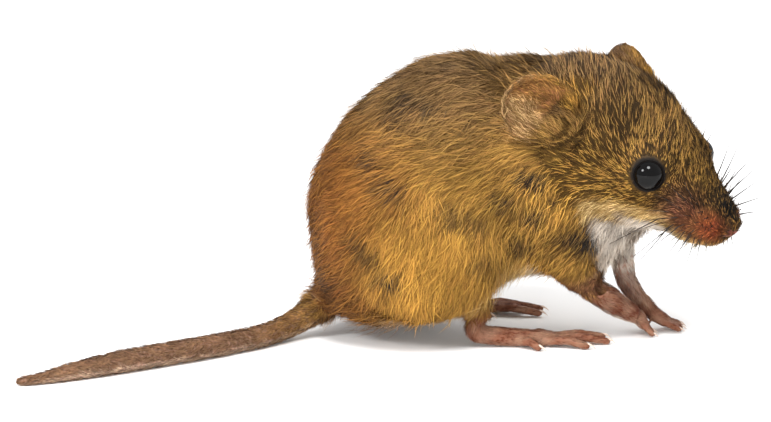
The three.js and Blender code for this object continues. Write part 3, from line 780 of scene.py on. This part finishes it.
def overEar(points, side):  # whether points lie in front of the ear's hollow, where no long hair goes
    up, upper, deep = earPlace(points, side)
    inside = ((up - 0.56) / 0.46) ** 2 + (upper / 0.92) ** 2 < 1
    return inside & (deep > -0.2) & (deep < 4)


def bladePoints(middle, half):  # both edges at each joint, and one point at the tip
    rows = np.empty((len(middle), bladeRows, 3))
    rows[:, 0:-1:2] = middle[:, :steps] - half
    rows[:, 1:-1:2] = middle[:, :steps] + half
    rows[:, -1] = middle[:, -1]
    return rows.reshape(-1, 3)


def bladeMesh(name, centre, normals, width, soft):
    ahead = np.gradient(centre, axis=1)
    blade = unit(np.cross(ahead, normals))
    roll = random.uniform(-0.6, 0.6, len(centre))[:, None, None]
    blade = unit(blade * np.cos(roll) + normals * np.sin(roll))
    shade = soft * normals + (1 - soft) * unit(np.cross(blade, ahead))
    blade = blade[:, :steps]
    points = bladePoints(centre, blade * (width[:, None, None] / 2) * bladeShare)
    faces = [face for n in range(0, 2 * steps - 2, 2) for face in ((n, n + 1, n + 3), (n, n + 3, n + 2))]
    faces.append((bladeRows - 3, bladeRows - 2, bladeRows - 1))
    faces = (np.arange(len(centre))[:, None, None] * bladeRows + np.array(faces)).reshape(-1, 3)
    coat = makeObject(name, points, faces)
    shade = unit(bladePoints(shade, 0.35 * blade))  # turned out at the edges, so a flat blade looks round
    coat.data.normals_split_custom_set_from_vertices(shade.tolist())
    return coat, faces


def growCoat(name, where, strands, own):
    habit = coatHabit | own
    chosen = np.flatnonzero(where)
    strands = strands // 1
    inTuft = habit["inTuft"]
    tufts = strands // inTuft
    weight = triangleArea[chosen] * triangleCloseness[chosen]
    ladder = np.cumsum(weight) / weight.sum()
    evenly = (np.arange(tufts) + random.random(tufts)) / tufts
    rung = np.minimum(np.searchsorted(ladder, evenly), len(chosen) - 1)
    a, b = random.random((2, tufts))
    folded = a + b > 1
    a, b = np.where(folded, 1 - a, a), np.where(folded, 1 - b, b)
    share = np.stack([1 - a - b, a, b], 1)
    picked = skinTriangles[chosen[rung]]

    def atRoot(values):
        return np.einsum("nk,nk...->n...", share, values[picked])

    roots = atRoot(skinPoints)
    rootNormals = unit(atRoot(surfaceNormals))
    wander = atRoot(drift)
    yaw = habit["unruly"] * (0.7 * random.standard_normal(tufts) + wander[:, 0] + 0.7 * wander[:, 2])
    follows = habit["direction"] is None
    way = across(atRoot(lay), rootNormals) if follows else habit["direction"](roots)
    direction = turned(way, rootNormals, yaw)
    length = atRoot(hairLength) * random.uniform(0.8, 1.15, tufts) * habit["longer"]
    depth = atRoot(coatDepth) * (1 + 0.14 * (wander[:, 1] + wander[:, 3]).clip(-1.8, 1.8))
    depth = np.maximum(depth * random.uniform(0.85, 1.1, tufts), 0.05) * habit["stand"]
    line, lineNormals, lineLay = tuftLines(roots, rootNormals, direction, length, follows)

    # strands of each tuft: set round its root, drawn together towards the tip
    which = np.repeat(np.arange(tufts), inTuft)
    count = len(which)
    place = np.tile(np.arange(inTuft), tufts)
    width = atRoot(hairWidth)[which] * random.uniform(0.7, 1.25, count)
    around = random.random(count) * 2 * math.pi
    spreadOut = np.sqrt(random.random(count)) * habit["reach"] * (length[which] / 3) ** 0.5
    sideOff, backOff = spreadOut * np.cos(around), spreadOut * np.sin(around)
    extent = random.uniform(0.7, 1.1, count)
    swerve = random.standard_normal(count) * habit["fan"]
    bend = random.standard_normal(count) * 0.08

    # an under layer of dark strands, partly slate underfur and partly painted shade deep in the coat, and
    # bright ones that ride over it, brightened as a painted highlight, and show for most of their length
    seen = strands / weight.sum() * length.mean() * 0.55 * width.mean()
    upperShare = min(0.5, habit["cover"] / seen)
    upper = random.random(count) < upperShare
    lift = np.where(upper, random.uniform(0.9, 1.2, count), random.uniform(0.45, 0.82, count))
    bristly = atRoot(bristle)[which]
    stray = upper & (random.random(count) < habit["strays"] + 0.05 * bristly)
    lift = np.where(stray, lift * random.uniform(1.15, habit["wild"] + 1.6 * bristly, count), lift)
    bright = random.uniform(0.9, habit["shine"], count)
    tone = np.where(upper, bright, habit["shade"] * random.uniform(0.6, 1.25, count))
    guard = (random.random(count) > 0.86) & ~stray
    tone = np.where(guard, habit["shade"] * random.uniform(0.3, 0.8, count), tone)
    tone = np.where(stray, tone * (1 - 0.75 * bristly), tone)
    width = width * np.where(upper, 0.78, 1.0)
    evenMark = np.maximum(0.7 * marks["cream"] * (marks["ear"] < 0.3), 0.35 * marks["rust"])
    even = np.maximum(0.75 * atRoot(marks["pale"]), atRoot(evenMark))[which]
    tone = 1 + (tone - 1) * (1 - even * ~(stray & (bristly > 0.3)))

    centre, normalRows = [], []
    for n in range(steps + 1):
        t = n / steps
        along = np.minimum(t * extent * steps, steps)
        low = np.minimum(along.astype(int), steps - 1)
        part = (along - low)[:, None]
        point = line[which, low] * (1 - part) + line[which, low + 1] * part
        normal = unit(lineNormals[which, low] * (1 - part) + lineNormals[which, low + 1] * part)
        forward = lineLay[which, low]
        sideways = np.cross(forward, normal)
        risen = 1 - (1 - np.minimum(t * extent, 1)) ** habit["flatness"]
        rise = depth[which] * lift * risen - 0.05 * (t == 0)
        together = 1 - habit["gather"] * t
        offset = sideways * (sideOff * together + (bend * t * t + swerve * t) * length[which])[:, None]
        offset += forward * (backOff * together)[:, None]
        centre.append(point + offset + normal * rise[:, None])
        normalRows.append(normal)
    centre, normalRows = np.stack(centre, 1), np.stack(normalRows, 1)
    centre[..., 2] = np.maximum(centre[..., 2], 0.03)  # nothing goes into the floor

    clear = np.ones(count, bool)
    for side in sign:
        clear &= np.linalg.norm(centre - eyeCentres[side], axis=2).min(axis=1) > eye["radius"] + 0.12
        if not habit["overEars"]:
            clear &= ~overEar(centre[:, 1:], side).any(axis=1)
    kept = (rows[clear] for rows in (centre, normalRows, which, place, width, tone, upper))
    centre, normalRows, which, place, width, tone, upper = kept
    coat, faces = bladeMesh(name, centre, normalRows, width, habit["soft"])

    count = len(which)
    height = np.append(np.repeat(np.arange(steps) / steps, 2), 1.0)  # of each blade point, 0 to 1
    strandRow = np.empty((count, bladeRows, 3))
    strandRow[..., 0] = height
    strandRow[..., 1] = tone[:, None]
    strandRow[..., 2] = random.random(tufts)[which][:, None]
    attribute(coat.data, "strand", strandRow.reshape(-1, 3))
    for group, values in markRows.items():
        strandMarks = atRoot(values)[which]
        if group == "paleRustSlate":  # bright strands cross the dark partings
            strandMarks[:, 2] *= np.where(upper, 0.6, 1.15)
        if group == "creamBareLid":
            strandMarks[:, 0] *= np.where(upper, 1.0, 0.4)
        attribute(coat.data, group, np.repeat(strandMarks, bladeRows, axis=0))

    # each tuft's patch lies at its root's place on the unwrapped skin, one column for each strand
    rootPlan = np.einsum("nk,nkc->nc", share, unwrapOf(chosen)[rung])[which]
    columnWidth = tuftPatch / inTuft
    left = rootPlan[:, 0] - tuftPatch / 2 + place * columnWidth
    planPoints = np.empty((count, bladeRows, 2))
    planPoints[..., 0] = left[:, None] + np.append(np.tile([0.1, 0.9], steps), 0.5) * columnWidth
    planPoints[..., 1] = rootPlan[:, 1:] + (height - 0.5) * tuftPatch
    planPoints = np.clip(planPoints, 0.0005, 0.9995).reshape(-1, 2)
    layer = coat.data.uv_layers.new(name="OFBake")
    layer.data.foreach_set("uv", planPoints[faces.ravel()].astype(np.float32).ravel())
    print(name, count, "strands,", len(faces), "triangles, on", round(weight.sum()), "square millimetres")
    return coat


def trianglesOf(*names):
    return np.isin(triangleKind, [kinds.index(n) for n in names])


def besideEar(side):  # skin just in front of an ear, whose fur sweeps back over the ear's edge
    up, upper, deep = earPlace(triangleMiddle, side)
    return (up > -0.2) & (up < 0.1) & (np.abs(upper) < 1.15) & (deep > -0.5) & (deep < 1.3)


def overTheEar(points):
    rows = []
    for side in sign:
        root, along, facing, acrossEar = earFrame(side)
        fall = 0.6 * smooth(earPlace(points, side)[1], 0.0, 0.7)[:, None]
        rows.append(unit(0.85 * along + 0.42 * facing + fall * sign[side] * acrossEar))
    return np.where(headCoords(points)[:, 1:2] < 0, rows[0], rows[1])


headSkin = trianglesOf("head", "nose")
frontOfHead = triangleHead[:, 0] > 6.5
trunkSkin = trianglesOf("trunk")
rightHalf = triangleMiddle[:, 1] < bodyMiddle
bareParts = trianglesOf("forearm", "shank", "hind_foot", "fore_foot")
nearEarFront = trianglesOf("head", "neck") & (besideEar("right") | besideEar("left"))
headHabit = dict(reach=0.3, gather=0.2, unruly=0.17, fan=0.18, flatness=1.05, cover=1.0, shade=0.2, shine=1.3,
                 wild=1.9, strays=0.25, soft=0.5, stand=1.25)
armHabit = dict(reach=0.4, cover=1.2, shade=0.5, soft=0.75, longer=0.8)
neckHabit = dict(reach=0.4, flatness=1.2, cover=1.1, shade=0.5, unruly=0.3, fan=0.28, wild=2.2, strays=0.25,
                 stand=1.15, soft=0.7, longer=0.85)
thinHabit = dict(reach=0.12, gather=0.1, fan=0.12, shade=0.75, cover=2.0, wild=1.3)
earHabit = thinHabit | dict(cover=1.0, shade=0.4, reach=0.25, fan=0.16, soft=0.6, overEars=True)
earTuftHabit = headHabit | dict(stand=0.45, shade=0.3, cover=0.5, strays=0.1, longer=1.15, overEars=True,
                                direction=overTheEar)
coatPlan = {  # where each piece grows, how many strands it has and how its habit differs
    "coatFace": (headSkin & frontOfHead, 60000, headHabit),
    "coatCrown": (headSkin & ~frontOfHead, 62000, headHabit | dict(longer=0.85)),
    "coatNeck": (trianglesOf("neck"), 60000, neckHabit),
    "coatTrunkRight": (trunkSkin & rightHalf, 64000, {}),
    "coatTrunkLeft": (trunkSkin & ~rightHalf, 64000, {}),
    "coatThighs": (trianglesOf("thigh"), 62000, dict(shade=0.86, shine=1.08)),
    "coatUpperArms": (trianglesOf("upper_arm"), 42000, armHabit),
    "coatLegs": (bareParts, 32000, thinHabit),
    "coatTail": (trianglesOf("tail"), 24000, thinHabit | dict(shade=0.55, stand=1.4)),
    "coatEars": (trianglesOf("ear"), 22000, earHabit),
    "coatEarTufts": (nearEarFront, 3000, earTuftHabit),
}
coats = [growCoat(name, *plan) for name, plan in coatPlan.items()]


# The skin itself, with the small forms that show: nostrils, the groove between them and the mouth

faceForms = {
    "nostril": {"at": (17.75, 0.62, -0.45), "radii": (0.5, 0.3, 0.26), "depth": 0.42},
    "groove": {"at": (17.6, 0.0, -1.2), "radii": (0.9, 0.14, 0.9), "depth": 0.16},
    "mouth": {"at": (14.6, 1.2, -2.75), "radii": (2.6, 1.4, 0.2), "depth": 0.25},
}
sunk = [form["depth"] * twins(inHead, form["at"], form["radii"], 0.6) for form in faceForms.values()]
skinPoints = skinPoints - surfaceNormals * np.max(sunk, 0)[:, None]
skin = makeObject("skin", skinPoints, skinTriangles)
for group, values in markRows.items():
    attribute(skin.data, group, values)
attribute(skin.data, "tailRun", tailDistance)
attribute(skin.data, "tailBare", marks["tail"] * (1 - furryShare))
print("skin made")


# Eyes: wet black balls, each in a ring of lid

lid = {"opening": 63, "thickness": 0.13, "corner": 0.13}


def lidRing(side, turns=72, sides=14):
    near = np.linalg.norm(skinPoints - eyeCentres[side], axis=1)
    ring = (near > eye["radius"] + 0.2) & (near < eye["radius"] + 1.3)
    outward = unit(surfaceNormals[ring].mean(axis=0))
    forward = unit(headX - outward * (headX @ outward))
    upward = np.cross(outward, forward)
    turn = np.linspace(0, 2 * math.pi, turns, endpoint=False)[:, None]
    corner = np.exp(-((np.minimum(turn, 2 * math.pi - turn)) / 0.35) ** 2)
    opening = np.radians(lid["opening"]) + 0.12 * corner
    size = lid["thickness"] + lid["corner"] * corner
    around = np.cos(turn) * forward + np.sin(turn) * upward
    line = eyeCentres[side] + eye["radius"] * (np.sin(opening) * around + np.cos(opening) * outward)
    radial = unit(line - eyeCentres[side])
    flat = unit(np.cross(np.roll(line, -1, 0) - np.roll(line, 1, 0), radial))
    return ringsRound(line, radial * 0.62 * size, flat * size, sides), wallFaces(turns, sides, True)


eyes, lids = {}, {}
for side in sign:
    eyes[side] = makeObject("eyeBall_" + side, *ballPoints(eyeCentres[side], eye["radius"], 64, 40))
    lids[side] = makeObject("eyelid_" + side, *lidRing(side))
print("eyes and lids made")


# Whiskers, brow hairs and claws: tapering tubes

def tube(line, radii, sides=6):
    ahead = unit(np.gradient(line, axis=0))
    reference = [0.0, 0.0, 1.0] if abs(ahead[0][2]) < 0.9 else [1.0, 0.0, 0.0]
    one = unit(np.cross(ahead, reference))
    two = np.cross(ahead, one)
    points = ringsRound(line, one * radii[:, None], two * radii[:, None], sides)
    quads = wallFaces(len(line), sides, False)
    ends = np.array([[0, n + 1, n] for n in range(1, sides - 1)])
    last = (len(line) - 1) * sides
    return points, np.concatenate([quads[:, [0, 1, 2]], quads[:, [0, 2, 3]], ends, ends[:, ::-1] + last])


def joinedTubes(name, lines, ends=0.32):  # ends is how much of its radius a tube keeps at its tip
    parts = [tube(line, radius * (1 - (1 - ends) * np.linspace(0, 1, len(line)))) for line, radius in lines]
    return makeObject(name, *joined(parts))


# Each whisker: where it grows on the head, which way it goes and how long it is, for each side. A real one is
# under 0.1 mm wide, too fine to show, so it is drawn a little thicker.
longWhiskers = [
    ((12.2, 3.4, -2.6), (-0.12, 0.88, -0.42), 6.4), ((13.2, 3.1, -2.8), (0.1, 0.8, -0.55), 5.4),
    ((13.4, 3.1, -2.6), (0.05, 0.8, -0.6), 4.6),
]
lowWhiskers = [
    ((14.2, 3.2, -1.7), (-0.15, 0.5, -0.9), 3.1), ((14.8, 3.2, -1.9), (0.0, 0.45, -0.9), 3.0),
    ((15.3, 3.0, -2.1), (0.2, 0.4, -0.9), 2.7), ((15.8, 2.8, -2.1), (0.4, 0.3, -0.9), 2.5),
    ((16.3, 2.5, -2.1), (0.6, 0.25, -0.9), 2.1), ((16.8, 2.2, -2.0), (0.75, 0.2, -0.9), 1.8),
]
padRows = [(0.4, 0.5), (-0.4, 0.15), (-1.2, -0.3), (-1.9, -0.7), (-2.5, -1.0)]  # height and slope
padWhiskers = [
    ((16.5 - 0.95 * n, 3.0, height), (0.3 - 0.26 * n, 0.6, slope), 1.1 + 0.3 * n)
    for height, slope in padRows for n in range(5)
]
upperWhiskers = [
    ((13.0, 2.9, 1.4), (-0.3, 0.4, 0.8), 2.8), ((13.6, 2.9, 1.2), (-0.25, 0.6, 0.75), 3.2),
    ((14.1, 2.8, 1.0), (-0.1, 0.7, 0.65), 3.6), ((14.6, 2.7, 0.8), (0.0, 0.8, 0.5), 3.2),
    ((15.2, 2.5, 0.5), (0.1, 0.9, 0.35), 3.0), ((15.8, 2.2, 0.2), (0.2, 0.9, 0.2), 2.6),
    ((16.4, 2.0, -0.3), (0.3, 0.9, 0.1), 1.9), ((15.0, 2.6, 1.2), (0.0, 0.5, 0.8), 1.6),
    ((14.4, 2.6, 1.5), (-0.1, 0.4, 0.9), 1.7), ((13.9, 2.4, 1.8), (-0.1, 0.5, 0.9), 1.5),
]
browHairs = [
    ((10.6, 2.6, 3.6), (0.0, 0.4, 0.9), 1.9), ((9.6, 3.0, 3.5), (-0.2, 0.4, 0.9), 1.6),
    ((8.4, 2.2, 4.4), (-0.1, 0.3, 0.95), 1.3), ((11.6, 2.0, 2.9), (0.1, 0.3, 0.9), 1.2),
]
whiskerForm = {"joints": 10, "long": 0.055, "low": 0.06, "short": 0.045, "upper": 0.075, "brow": 0.05,
               "upperShare": {"right": 0.45, "left": 1.35}}  # radii, and how long each side's upper ones are


def whiskerLines(side):
    plans = [(longWhiskers, "long", 1), (lowWhiskers, "low", 1), (padWhiskers, "short", 1),
             (upperWhiskers, "upper", whiskerForm["upperShare"][side]), (browHairs, "brow", 1)]
    step = np.linspace(0, 1, whiskerForm["joints"])[:, None]
    sweep = 0.16 * step ** 2 * alongHead((-0.25, 0.0, -0.45), side)
    lines = []
    for whiskers, sort, share in plans:
        for base, out, length in whiskers:
            start = np.array(skinTree.find_nearest(onHead(base, side).tolist())[0])
            out = unit(alongHead(out, side) + random.standard_normal(3) * 0.04)
            length = length * share * random.uniform(0.92, 1.08)
            lines.append((start + length * (step * out + sweep), whiskerForm[sort]))
    return lines


toes = [  # root and tip of each hind toe: forward and outward of the heel
    [(4.2, 0.9), (5.7, 2.3)],
    [(6.6, 0.9), (10.3, 2.3)],
    [(7.1, 0.3), (12.5, 0.8)],
    [(6.9, -0.4), (12.4, -1.0)],
    [(5.0, -0.95), (7.6, -2.2)],
]
hand = {"fingers": 4, "spread": 1.575, "fan": 1.5, "rounding": 0.3}
claws = {
    "hind": {"length": 0.85, "radius": 0.17, "height": 0.52},
    "fore": {"length": 0.6, "radius": 0.13, "height": 0.42},
}


def fingersOf(plan):  # root and tip of each finger
    fingers = []
    for n in range(hand["fingers"]):
        place = (n / (hand["fingers"] - 1) - 0.5) * hand["spread"]
        tip = (plan["tip"] - abs(place) * hand["rounding"], place * hand["fan"])
        fingers.append([(plan["knuckle"], place), tip])
    return fingers


def clawLines():
    step = np.linspace(0, 1, 7)[:, None]
    rise = (0.15 * (1 - (1 - step) ** 2) - 0.6 * step ** 2) * [0, 0, 1]  # up at first, then hooked down
    lines = []
    for name, plan in feet.items():
        isHind = name.startswith("hind")
        form = claws["hind" if isHind else "fore"]
        for root, tip in toes if isHind else fingersOf(plan):
            start = onFoot(name, *tip, form["height"])
            ahead = unit(start - onFoot(name, *root, form["height"]))
            line = start + form["length"] * (step * ahead + rise)
            line[:, 2] = np.maximum(line[:, 2], 0.04)
            lines.append((line, form["radius"]))
    return lines


whiskerPieces = [joinedTubes("whiskers_" + side, whiskerLines(side)) for side in sign]
clawPiece = joinedTubes("claws", clawLines(), ends=0.12)
print("whiskers and claws made")


# Materials

def addNode(tree, kind, values, output=0, **settings):  # gives the new node's output
    node = tree.nodes.new("ShaderNode" + kind)
    for name, value in settings.items():
        setattr(node, name, value)
    for socket, value in values.items():  # each input gets a link, a number or a colour
        if isinstance(value, bpy.types.NodeSocket):
            tree.links.new(value, node.inputs[socket])
        else:
            node.inputs[socket].default_value = linear(value) if isinstance(value, str) else value
    return node.outputs[output] if node.outputs else None


def newMaterial(name):
    material = bpy.data.materials.new(name)
    material.use_nodes = True
    material.node_tree.nodes.clear()
    return material, material.node_tree


def layered(tree, colour, *layers):  # colours laid over one another, each for its share
    for share, over in layers:
        colour = addNode(tree, "Mix", {0: share, 6: colour, 7: over}, 2, data_type="RGBA")
    return colour


def rowsIn(tree, name):  # the three numbers of a mesh attribute
    rows = addNode(tree, "Attribute", {}, "Vector", attribute_name=name)
    return addNode(tree, "SeparateXYZ", {0: rows}).node.outputs


def marksIn(tree):  # every mark on the mesh, by name
    mark = {}
    for group, names in markGroups.items():
        mark.update(zip(names, rowsIn(tree, group)))
    return mark


coatColours = {
    "flank": "#aa7e3a", "greyBack": "#8a683f", "rump": "#8e5a27", "gold": "#c4903f", "pale": "#d6c9ba",
    "rust": "#a45230", "slate": "#2c2724", "cream": "#e6c486", "bare": "#8e5c48", "earHair": "#c48a4c",
    "earCream": "#e2bc84", "earBack": "#866442", "legRed": "#824832", "legPale": "#9a745e",
    "tailTop": "#866349", "tailLow": "#ccac90",
}


def peltColour(tree, mark):  # the coat's colour at a spot, shared by skin and coat
    order = ("greyBack", "rump", "gold", "cream", "bare", "rust", "slate", "pale")
    return layered(tree, coatColours["flank"], *((mark[name], coatColours[name]) for name in order))


def furMaterial():
    # Keratin hair, grown in bands: a slate root, a golden middle and on some a black tip. The dark root also
    # stands for painted shade deep in the coat. It gives fine bright streaks over dark gaps, with a soft edge
    # and little shine. The bands run along each strand, so their scale is the hair's own length, 1 to 3 mm.
    material, tree = newMaterial("agoutiHair")
    mark = marksIn(tree)
    along, strandTone, tuftTone = rowsIn(tree, "strand")
    earColour = layered(tree, coatColours["earHair"], (mark["earBack"], coatColours["earBack"]),
                        (mark["cream"], coatColours["earCream"]), (mark["gold"], coatColours["gold"]))
    tailColour = layered(tree, coatColours["tailTop"], (mark["low"], coatColours["tailLow"]))
    legColour = layered(tree, coatColours["legRed"], (mark["bright"], coatColours["legPale"]),
                        (mark["pale"], coatColours["pale"]))
    colour = layered(tree, peltColour(tree, mark), (mark["ear"], earColour), (mark["leg"], legColour),
                     (mark["tail"], tailColour))
    earOrLeg = addNode(tree, "Math", {0: mark["ear"], 1: mark["leg"]}, operation="MAXIMUM")
    thin = addNode(tree, "Math", {0: earOrLeg, 1: mark["tail"]}, operation="MAXIMUM")
    # the root colour: partly the hair's slate band, partly painted shade deep in the coat
    root = layered(tree, "#241b12", (mark["pale"], "#8f877f"), (thin, "#8a6045"))
    rise = addNode(tree, "MapRange", {0: along, 1: 0.0, 2: 0.55}, interpolation_type="SMOOTHSTEP")

    # black tips on the tufts of a high tone, but not where the hair is pale or thin
    paleOrThin = addNode(tree, "Math", {0: mark["pale"], 1: thin}, operation="MAXIMUM")
    coloured = addNode(tree, "Math", {0: 1.0, 1: paleOrThin}, operation="SUBTRACT")
    tip = addNode(tree, "MapRange", {0: along, 1: 0.6, 2: 1.0})
    tipped = addNode(tree, "MapRange", {0: tuftTone, 1: 0.55, 2: 0.65, 3: 0.0, 4: 0.6})
    tipShare = addNode(tree, "Math", {0: tip, 1: tipped}, operation="MULTIPLY")
    tipShare = addNode(tree, "Math", {0: tipShare, 1: coloured}, operation="MULTIPLY")
    fleckShare = addNode(tree, "Math", {0: mark["fleck"], 1: 0.7}, operation="MULTIPLY")
    colour = layered(tree, root, (rise, colour), (tipShare, "#2a2014"), (fleckShare, "#33291e"))

    # tone from strand to strand, tuft to tuft and patch to patch
    tuftShade = addNode(tree, "MapRange", {0: tuftTone, 3: 1.12, 4: 0.88})
    patchShade = addNode(tree, "MapRange", {0: mark["bright"], 3: 0.8, 4: 1.2})
    tone = addNode(tree, "Math", {0: strandTone, 1: tuftShade}, operation="MULTIPLY")
    tone = addNode(tree, "Math", {0: tone, 1: patchShade}, operation="MULTIPLY")
    hue = addNode(tree, "MapRange", {0: tuftTone, 3: 0.507, 4: 0.493})
    colour = addNode(tree, "HueSaturation", {"Hue": hue, "Value": tone, "Color": colour})
    shader = addNode(tree, "BsdfPrincipled", {
        "Base Color": colour, "Roughness": 0.7, "Specular IOR Level": 0.14,
    })
    addNode(tree, "OutputMaterial", {"Surface": shader})
    return material


# Sizes of the skin's patterns in millimetres. Real scale rings stand about 0.25 apart and real creases finer
# still, so both are drawn coarse enough to show.
skinGrain = {"mottle": 1.111, "crease": 0.2381, "ring": 0.42, "ringRelief": 0.06, "creaseRelief": 0.05}


def skinMaterial():
    # Thin grown skin, pinkish and finely creased where it is bare, ringed with scales on the tail. Painted
    # shade darkens it under the coat and in the dips between the rings. The creases break up a faint moist
    # shine.
    material, tree = newMaterial("mouseSkin")
    mark = marksIn(tree)
    run = addNode(tree, "Attribute", {}, "Fac", attribute_name="tailRun")
    tailBare = addNode(tree, "Attribute", {}, "Fac", attribute_name="tailBare")
    place = addNode(tree, "TexCoord", {}, "Object")
    scale = 1 / (skinGrain["mottle"] * millimetre)
    mottle = addNode(tree, "TexNoise", {"Vector": place, "Scale": scale, "Detail": 4.0})
    scale = 1 / (skinGrain["crease"] * millimetre)
    crease = addNode(tree, "TexNoise", {"Vector": place, "Scale": scale, "Detail": 3.0})
    earTone = layered(tree, "#8c5630", (mottle, "#a87048"), (mark["earBack"], "#7a5a3e"),
                      (mark["cream"], "#a87c54"))
    legPatch = layered(tree, coatColours["legRed"], (mark["bright"], coatColours["legPale"]))
    legTone = layered(tree, "#744c38", (mottle, "#96705a"), (0.45, legPatch), (mark["pale"], "#b89080"))
    noseTone = layered(tree, "#5e3226", (mottle, "#8a5040"))
    tailTone = layered(tree, "#7c5c48", (mottle, "#97745e"), (mark["low"], "#c09c88"))
    # under the coat the pelt colour is darkened: painted shade deep in the fur
    shown = layered(tree, peltColour(tree, mark), (0.7, "#1f1710"), (mark["ear"], earTone),
                    (mark["leg"], legTone), (tailBare, tailTone), (mark["bare"], "#7e4c38"),
                    # the hollow mark is painted shade in each ear's hollow
                    (mark["nose"], noseTone), (mark["lid"], "#0e0a08"), (mark["hollow"], "#22150d"))
    phase = addNode(tree, "Math", {0: run, 1: 2 * math.pi / skinGrain["ring"]}, operation="MULTIPLY")
    wave = addNode(tree, "Math", {0: phase}, operation="SINE")
    rings = addNode(tree, "Math", {0: wave, 1: tailBare}, operation="MULTIPLY")
    # the dips between the tail's scale rings are darkened: painted shade
    grooveShade = addNode(tree, "MapRange", {0: rings, 1: -1.0, 2: 0.2, 3: 0.86, 4: 1.0})
    shown = addNode(tree, "HueSaturation", {"Value": grooveShade, "Color": shown})
    relief = skinGrain["ringRelief"] * millimetre
    bump = addNode(tree, "Bump", {"Strength": 0.5, "Distance": relief, "Height": rings})
    relief = skinGrain["creaseRelief"] * millimetre
    bump = addNode(tree, "Bump", {"Strength": 0.6, "Distance": relief, "Height": crease, "Normal": bump})
    shader = addNode(tree, "BsdfPrincipled", {
        "Base Color": shown, "Roughness": 0.6, "Specular IOR Level": 0.16, "Normal": bump,
        "Subsurface Weight": 0.15, "Subsurface Scale": 0.6 * millimetre,
        "Subsurface Radius": (1.0, 0.45, 0.3),  # red goes deepest
    })
    addNode(tree, "OutputMaterial", {"Surface": shader})
    return material


def plainMaterial(name, colours, grain, relief, roughness, specular, clear=0.0):
    material, tree = newMaterial(name)  # grain and relief are in millimetres
    place = addNode(tree, "TexCoord", {}, "Object")
    noise = addNode(tree, "TexNoise", {"Vector": place, "Scale": 1 / (grain * millimetre), "Detail": 4.0})
    bump = addNode(tree, "Bump", {"Strength": 0.5, "Distance": relief * millimetre, "Height": noise})
    shader = addNode(tree, "BsdfPrincipled", {
        "Base Color": layered(tree, colours[0], (noise, colours[1])), "Roughness": roughness, "Normal": bump,
        "Specular IOR Level": specular, "Coat Weight": clear, "Coat Roughness": 0.02,
    })
    addNode(tree, "OutputMaterial", {"Surface": shader})
    return material


agoutiHair = furMaterial()
mouseSkin = skinMaterial()
# Cornea over a black iris, wet and polished by the lids: a deep black with sharp reflections. Only the broad
# waves of its tear film are drawn.
wetEye = plainMaterial("wetCornea", ("#020202", "#060505"), 1.667, 0.001, 0.07, 0.2)
# Bare lid skin, finely wrinkled and moist at its edge: a soft dark rim. Its wrinkles are drawn coarse, so
# that they show.
lidSkin = plainMaterial("moistLidSkin", ("#060404", "#0f0b09"), 0.2857, 0.04, 0.55, 0.05)
# Whisker keratin, drawn out stiff and smooth: dark with a thin glint, its tone varying every 2 mm.
whiskerHair = plainMaterial("whiskerKeratin", ("#14100d", "#2c2119"), 2, 0.005, 0.4, 0.3)
# Claw horn, grown in a thin curved sheath: pale, slightly clear, with a gloss along the back.
clawHorn = plainMaterial("clawHorn", ("#cdb09c", "#e6d3c2"), 0.6667, 0.01, 0.3, 0.5, clear=0.3)
# Matt cotton paper, rolled smooth. Its fibres are far too fine to show, so only its cloudiness is drawn.
studioPaper = plainMaterial("paleStudioPaper", ("#f4f4f3", "#fafafa"), 25, 0.01, 0.9, 0.1)

pieces = [(coat, agoutiHair, "coat") for coat in coats]
pieces += [(skin, mouseSkin, "leg_skin"), (clawPiece, clawHorn, "claw")]
pieces += [(piece, whiskerHair, "whisker") for piece in whiskerPieces]
pieces += [(ball, wetEye, "eye") for ball in eyes.values()]
pieces += [(ring, lidSkin, "eye") for ring in lids.values()]
for piece, material, slotName in pieces:
    piece.data.materials.append(material)
    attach(piece, "root")
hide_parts(*fleshNodes)
for side in sign:
    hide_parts("eye_" + side)
print("materials given")


# Floor, light and camera

floorSize = 4000
floorCorners = [(x * floorSize, y * floorSize, 0) for x, y in ((-1, -1), (1, -1), (1, 1), (-1, 1))]
floor = makeObject("floor", floorCorners, [(0, 1, 2, 3)])
floor.data.materials.append(studioPaper)

target = Vector((standing[0], standing[1], 11.77)) * millimetre
lamps = {  # degrees and millimetres
    "keySoftbox": {"turn": 8, "height": 60, "distance": 450, "size": 150, "power": 1.45},
    "sideSoftbox": {"turn": -48, "height": 36, "distance": 450, "size": 110, "power": 1.0},
    "backSoftbox": {"turn": 165, "height": 50, "distance": 600, "size": 400, "power": 1.6},
    "lowCard": {"turn": -14, "height": 7, "distance": 450, "size": 90, "power": 0.8},
}
view = {"turn": 0, "height": 13, "distance": 340, "lens": 166.7}
room = {"colour": "#fbfbfc", "strength": 0.88}


def hung(name, data, plan):  # a lamp or camera that looks at the target from its own place
    turn, height = math.radians(plan["turn"]), math.radians(plan["height"])
    back = Vector((math.sin(turn) * math.cos(height), -math.cos(turn) * math.cos(height), math.sin(height)))
    holder = bpy.data.objects.new(name, data)
    holder.location = target + back * plan["distance"] * millimetre
    holder.rotation_euler = back.to_track_quat("Z", "Y").to_euler()
    bpy.context.scene.collection.objects.link(holder)
    return holder


for name, lamp in lamps.items():
    light = bpy.data.lights.new(name, "AREA")
    light.shape = "DISK"
    light.size = lamp["size"] * millimetre
    light.energy = lamp["power"]
    holder = hung(name, light, lamp)
    holder.visible_glossy = name != "lowCard"  # the card fills the shade under the body but not the eyes

world = bpy.data.worlds.new("paleRoom")
bpy.context.scene.world = world
world.use_nodes = True
world.node_tree.nodes["Background"].inputs["Color"].default_value = linear(room["colour"])
world.node_tree.nodes["Background"].inputs["Strength"].default_value = room["strength"]

camera = bpy.data.cameras.new("camera")
camera.lens = view["lens"]
camera.sensor_width = 36
camera.clip_start, camera.clip_end = 0.01, 20
bpy.context.scene.camera = hung("camera", camera, view)
bpy.context.scene.view_settings.view_transform = "Standard"
print("stage set")
